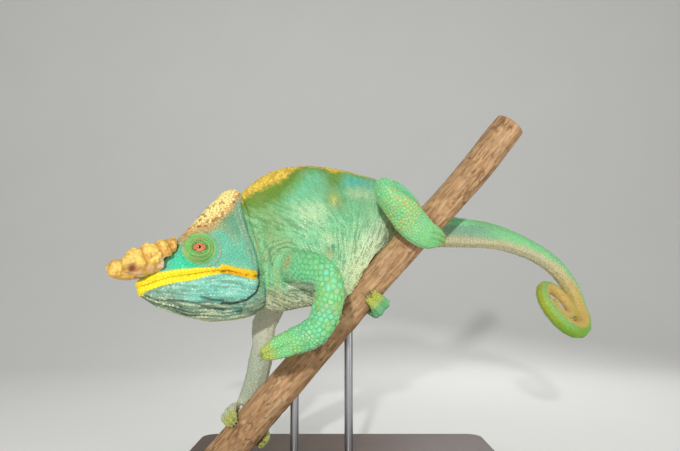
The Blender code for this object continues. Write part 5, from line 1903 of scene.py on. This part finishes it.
class ChameleonColours(bpy.types.PropertyGroup):
    mint: colour("Mint", "Flank", 132, 208, 152)
    turquoise: colour("Turquoise", "Upper flank", 112, 192, 146)
    flank_rear: colour("Rear flank", "Flank in front of the hip", 134, 208, 152)
    aqua: colour("Aqua", "Patch under the rear of the back", 84, 190, 170)
    pale: colour("Pale mint", "Lower flank", 188, 218, 166)
    belly: colour("Belly", "Belly before the hip", 226, 236, 184)
    patch: colour("Pale patches", "Pale patches of the flank", 200, 226, 176)
    spot: colour("Spot", "Yellow spot of the flank", 206, 204, 110)
    olive_soft: colour("Soft olive", "Green under the olive edge", 112, 166, 82)
    # Painted shadow on the side of the tail's base, and the grey of the far forearm.
    tail_grey: colour("Tail grey", "Side of the tail's base", 124, 160, 140)
    # Painted highlight on the ridges of the wrinkles and of the throat's folds, and the pale rim along the
    # throat.
    ridge: colour("Ridges", "Ridges of the wrinkles", 222, 228, 184)
    # Painted shade in the creases of the wrinkles and between the tail's rings.
    crease: colour("Creases", "Creases of the wrinkles", 56, 124, 84)
    # Palest skin before the hip and under the arm, also laid as painted highlight on the ridges of the
    # flank's wrinkles.
    belly_light: colour("Belly light", "Palest skin, before the hip", 222, 242, 204)
    chest: colour("Chest", "Breast and underside", 208, 212, 176)
    neck_tan: colour("Neck lines", "Tan lines of the neck", 186, 174, 108)
    olive: colour("Olive", "Edge under the yellow of the back", 104, 140, 34)
    back_yellow: colour("Back yellow", "Front of the back and spots", 236, 204, 78)
    orange: colour("Orange", "Orange blotches", 206, 140, 74)
    cheek: colour("Cheek", "Side of the head", 108, 192, 160)
    cheek_light: colour("Cheek light", "Pale streaks of the cheek", 140, 208, 172)
    teal: colour("Teal", "Patch behind the horns", 62, 208, 160)
    jaw_blue: colour("Jaw", "Lower jaw", 128, 210, 188)
    # Painted highlight on the ridges of the jaw's streaks.
    jaw_light: colour("Jaw light", "Ridges of the lower jaw", 186, 228, 206)
    gular: colour("Throat", "Skin under the jaw", 128, 156, 130)
    # Painted shade in the folds of the head and throat, and painted shadow under the arm.
    fold_dark: colour("Folds", "Depth of the folds", 28, 58, 48)
    casque: colour("Casque", "Top of the head", 250, 242, 158)
    speck: colour("Casque specks", "Brown specks of the casque", 150, 98, 44)
    crest_tan: colour("Crest tan", "Tan band over the eye", 196, 172, 112)
    crest_orange: colour("Crest orange", "Tubercles of the crest", 214, 140, 84)
    temple: colour("Temple", "Grey patch behind the eye", 104, 158, 124)
    temple_light: colour("Temple edge", "Pale line before the head's rear edge", 166, 190, 160)
    lip: colour("Lips", "Yellow lips", 252, 238, 30)
    lip_orange: colour("Lip edges", "Warm yellow of the lips' gaps and rear", 232, 176, 18)
    turret: colour("Eyelid", "Eye turret", 128, 204, 110)
    # Also laid as painted shade on the eyelid's lower half.
    turret_ring: colour("Eyelid rings", "Darker rings of the eye turret", 84, 140, 70)
    lid_red: colour("Lid edge", "Edge of the eye's opening", 132, 88, 50)
    limb: colour("Limbs", "Scale middles of the limbs", 122, 216, 152)
    limb_cyan: colour("Limb cyan", "Bluish scale middles of the limbs", 118, 216, 176)
    limb_green: colour("Limb green", "Skin between the scales of the limbs", 100, 172, 88)
    hand: colour("Hands", "Hands and feet", 148, 210, 128)
    medial: colour("Inner limbs", "Inner side of the limbs", 204, 196, 176)
    finger: colour("Toes", "Tips of the toes", 190, 196, 86)
    tail_green: colour("Tail green", "Upper side of the tail's base", 134, 204, 140)
    tail_pale: colour("Tail pale", "Underside of the tail's base", 204, 196, 156)
    tail_lime: colour("Tail lime", "Upper side of the tail's coil", 122, 166, 40)
    tail_tan: colour("Tail tan", "Underside of the tail's coil", 204, 176, 98)
    horn: colour("Horn", "Horns", 226, 178, 84)
    # Painted highlight on the tops of the horns' lobes.
    horn_light: colour("Horn light", "Tops of the horns' lobes", 246, 212, 108)
    # Painted shade between the warts of the horns.
    horn_dark: colour("Horn gaps", "Between the warts of the horns", 168, 112, 50)
    # Orange mottling of the horns, and painted shade between their lobes.
    horn_orange: colour("Horn orange", "Between the lobes of the horns", 196, 124, 50)
    horn_pale: colour("Horn pale", "Whitish rear corner of the horns", 226, 198, 174)
    # Painted shade in the nostril's hollow.
    nostril: colour("Nostril", "Nostril", 132, 66, 44)
    claw: colour("Claw", "Root of the claws", 186, 176, 126)
    iris: colour("Iris", "Orange ring round the pupil", 232, 126, 80)
    iris_gold: colour("Iris edge", "Outer edge of the iris", 222, 140, 88)
    bark: colour("Bark", "Bark of the branch", 184, 144, 104)
    bark_dark: colour("Bark fissures", "Fissures of the bark", 122, 88, 58)
    bark_pale: colour("Bark plates", "Raised plates of the bark", 214, 182, 140)
    cut_wood: colour("Cut wood", "Sawn end of the branch", 214, 180, 132)
    base_wood: colour("Base", "Oiled wood of the base", 84, 56, 38)
    rod_steel: colour("Rods", "Brushed steel of the rods", 176, 176, 180)
    studio: colour("Studio", "Floor and walls of the studio", 238, 238, 236)


# ---- operators
class ChameleonSkin(bpy.types.Operator):
    """Make the one skin that stands for all the nodes of flesh"""
    bl_idname = "chameleon.skin"
    bl_label = "Skin"

    def execute(self, context):
        build_skin()
        return {"FINISHED"}


class ChameleonScales(bpy.types.Operator):
    """Set the coat of scales on the skin"""
    bl_idname = "chameleon.scales"
    bl_label = "Scales"

    def execute(self, context):
        build_scales()
        return {"FINISHED"}


class ChameleonHorns(bpy.types.Operator):
    """Make the two warty snout horns"""
    bl_idname = "chameleon.horns"
    bl_label = "Horns"

    def execute(self, context):
        build_horns()
        return {"FINISHED"}


class ChameleonEyes(bpy.types.Operator):
    """Make the two eyeballs"""
    bl_idname = "chameleon.eyes"
    bl_label = "Eyes"

    def execute(self, context):
        build_eyes()
        return {"FINISHED"}


class ChameleonClaws(bpy.types.Operator):
    """Make the claws of all four feet"""
    bl_idname = "chameleon.claws"
    bl_label = "Claws"

    def execute(self, context):
        build_claws()
        return {"FINISHED"}


class ChameleonBranch(bpy.types.Operator):
    """Make the bark of the branch and its sawn end"""
    bl_idname = "chameleon.branch"
    bl_label = "Branch"

    def execute(self, context):
        build_branch()
        return {"FINISHED"}


class ChameleonStand(bpy.types.Operator):
    """Make the wooden base and the steel rods and collars"""
    bl_idname = "chameleon.stand"
    bl_label = "Stand"

    def execute(self, context):
        build_stand()
        return {"FINISHED"}


class ChameleonStage(bpy.types.Operator):
    """Set up the floor, the lights and the camera"""
    bl_idname = "chameleon.stage"
    bl_label = "Studio"

    def execute(self, context):
        build_stage()
        return {"FINISHED"}


OPERATORS = (ChameleonSkin, ChameleonScales, ChameleonHorns, ChameleonEyes, ChameleonClaws, ChameleonBranch,
             ChameleonStand, ChameleonStage)


class ChameleonPanel(bpy.types.Panel):
    """Buttons and settings of the chameleon"""
    bl_idname = "VIEW3D_PT_chameleon"
    bl_label = "Parson's Chameleon"
    bl_space_type = "VIEW_3D"
    bl_region_type = "UI"
    bl_category = "Chameleon"

    def draw(self, context):
        for operator in OPERATORS:
            self.layout.operator(operator.bl_idname)
        for group in (context.scene.chameleon_sizes, context.scene.chameleon_colours):
            for name in group.__annotations__:
                self.layout.prop(group, name)


CLASSES = (ChameleonSizes, ChameleonColours, *OPERATORS, ChameleonPanel)


def register():
    for cls in CLASSES:
        bpy.utils.register_class(cls)
    bpy.types.Scene.chameleon_sizes = bpy.props.PointerProperty(type=ChameleonSizes)
    bpy.types.Scene.chameleon_colours = bpy.props.PointerProperty(type=ChameleonColours)


def unregister():
    del bpy.types.Scene.chameleon_colours
    del bpy.types.Scene.chameleon_sizes
    for cls in reversed(CLASSES):
        bpy.utils.unregister_class(cls)


def main():
    register()
    for operator in OPERATORS:
        group, name = operator.bl_idname.split(".")
        getattr(getattr(bpy.ops, group), name)()


if __name__ == "__main__":
    main()
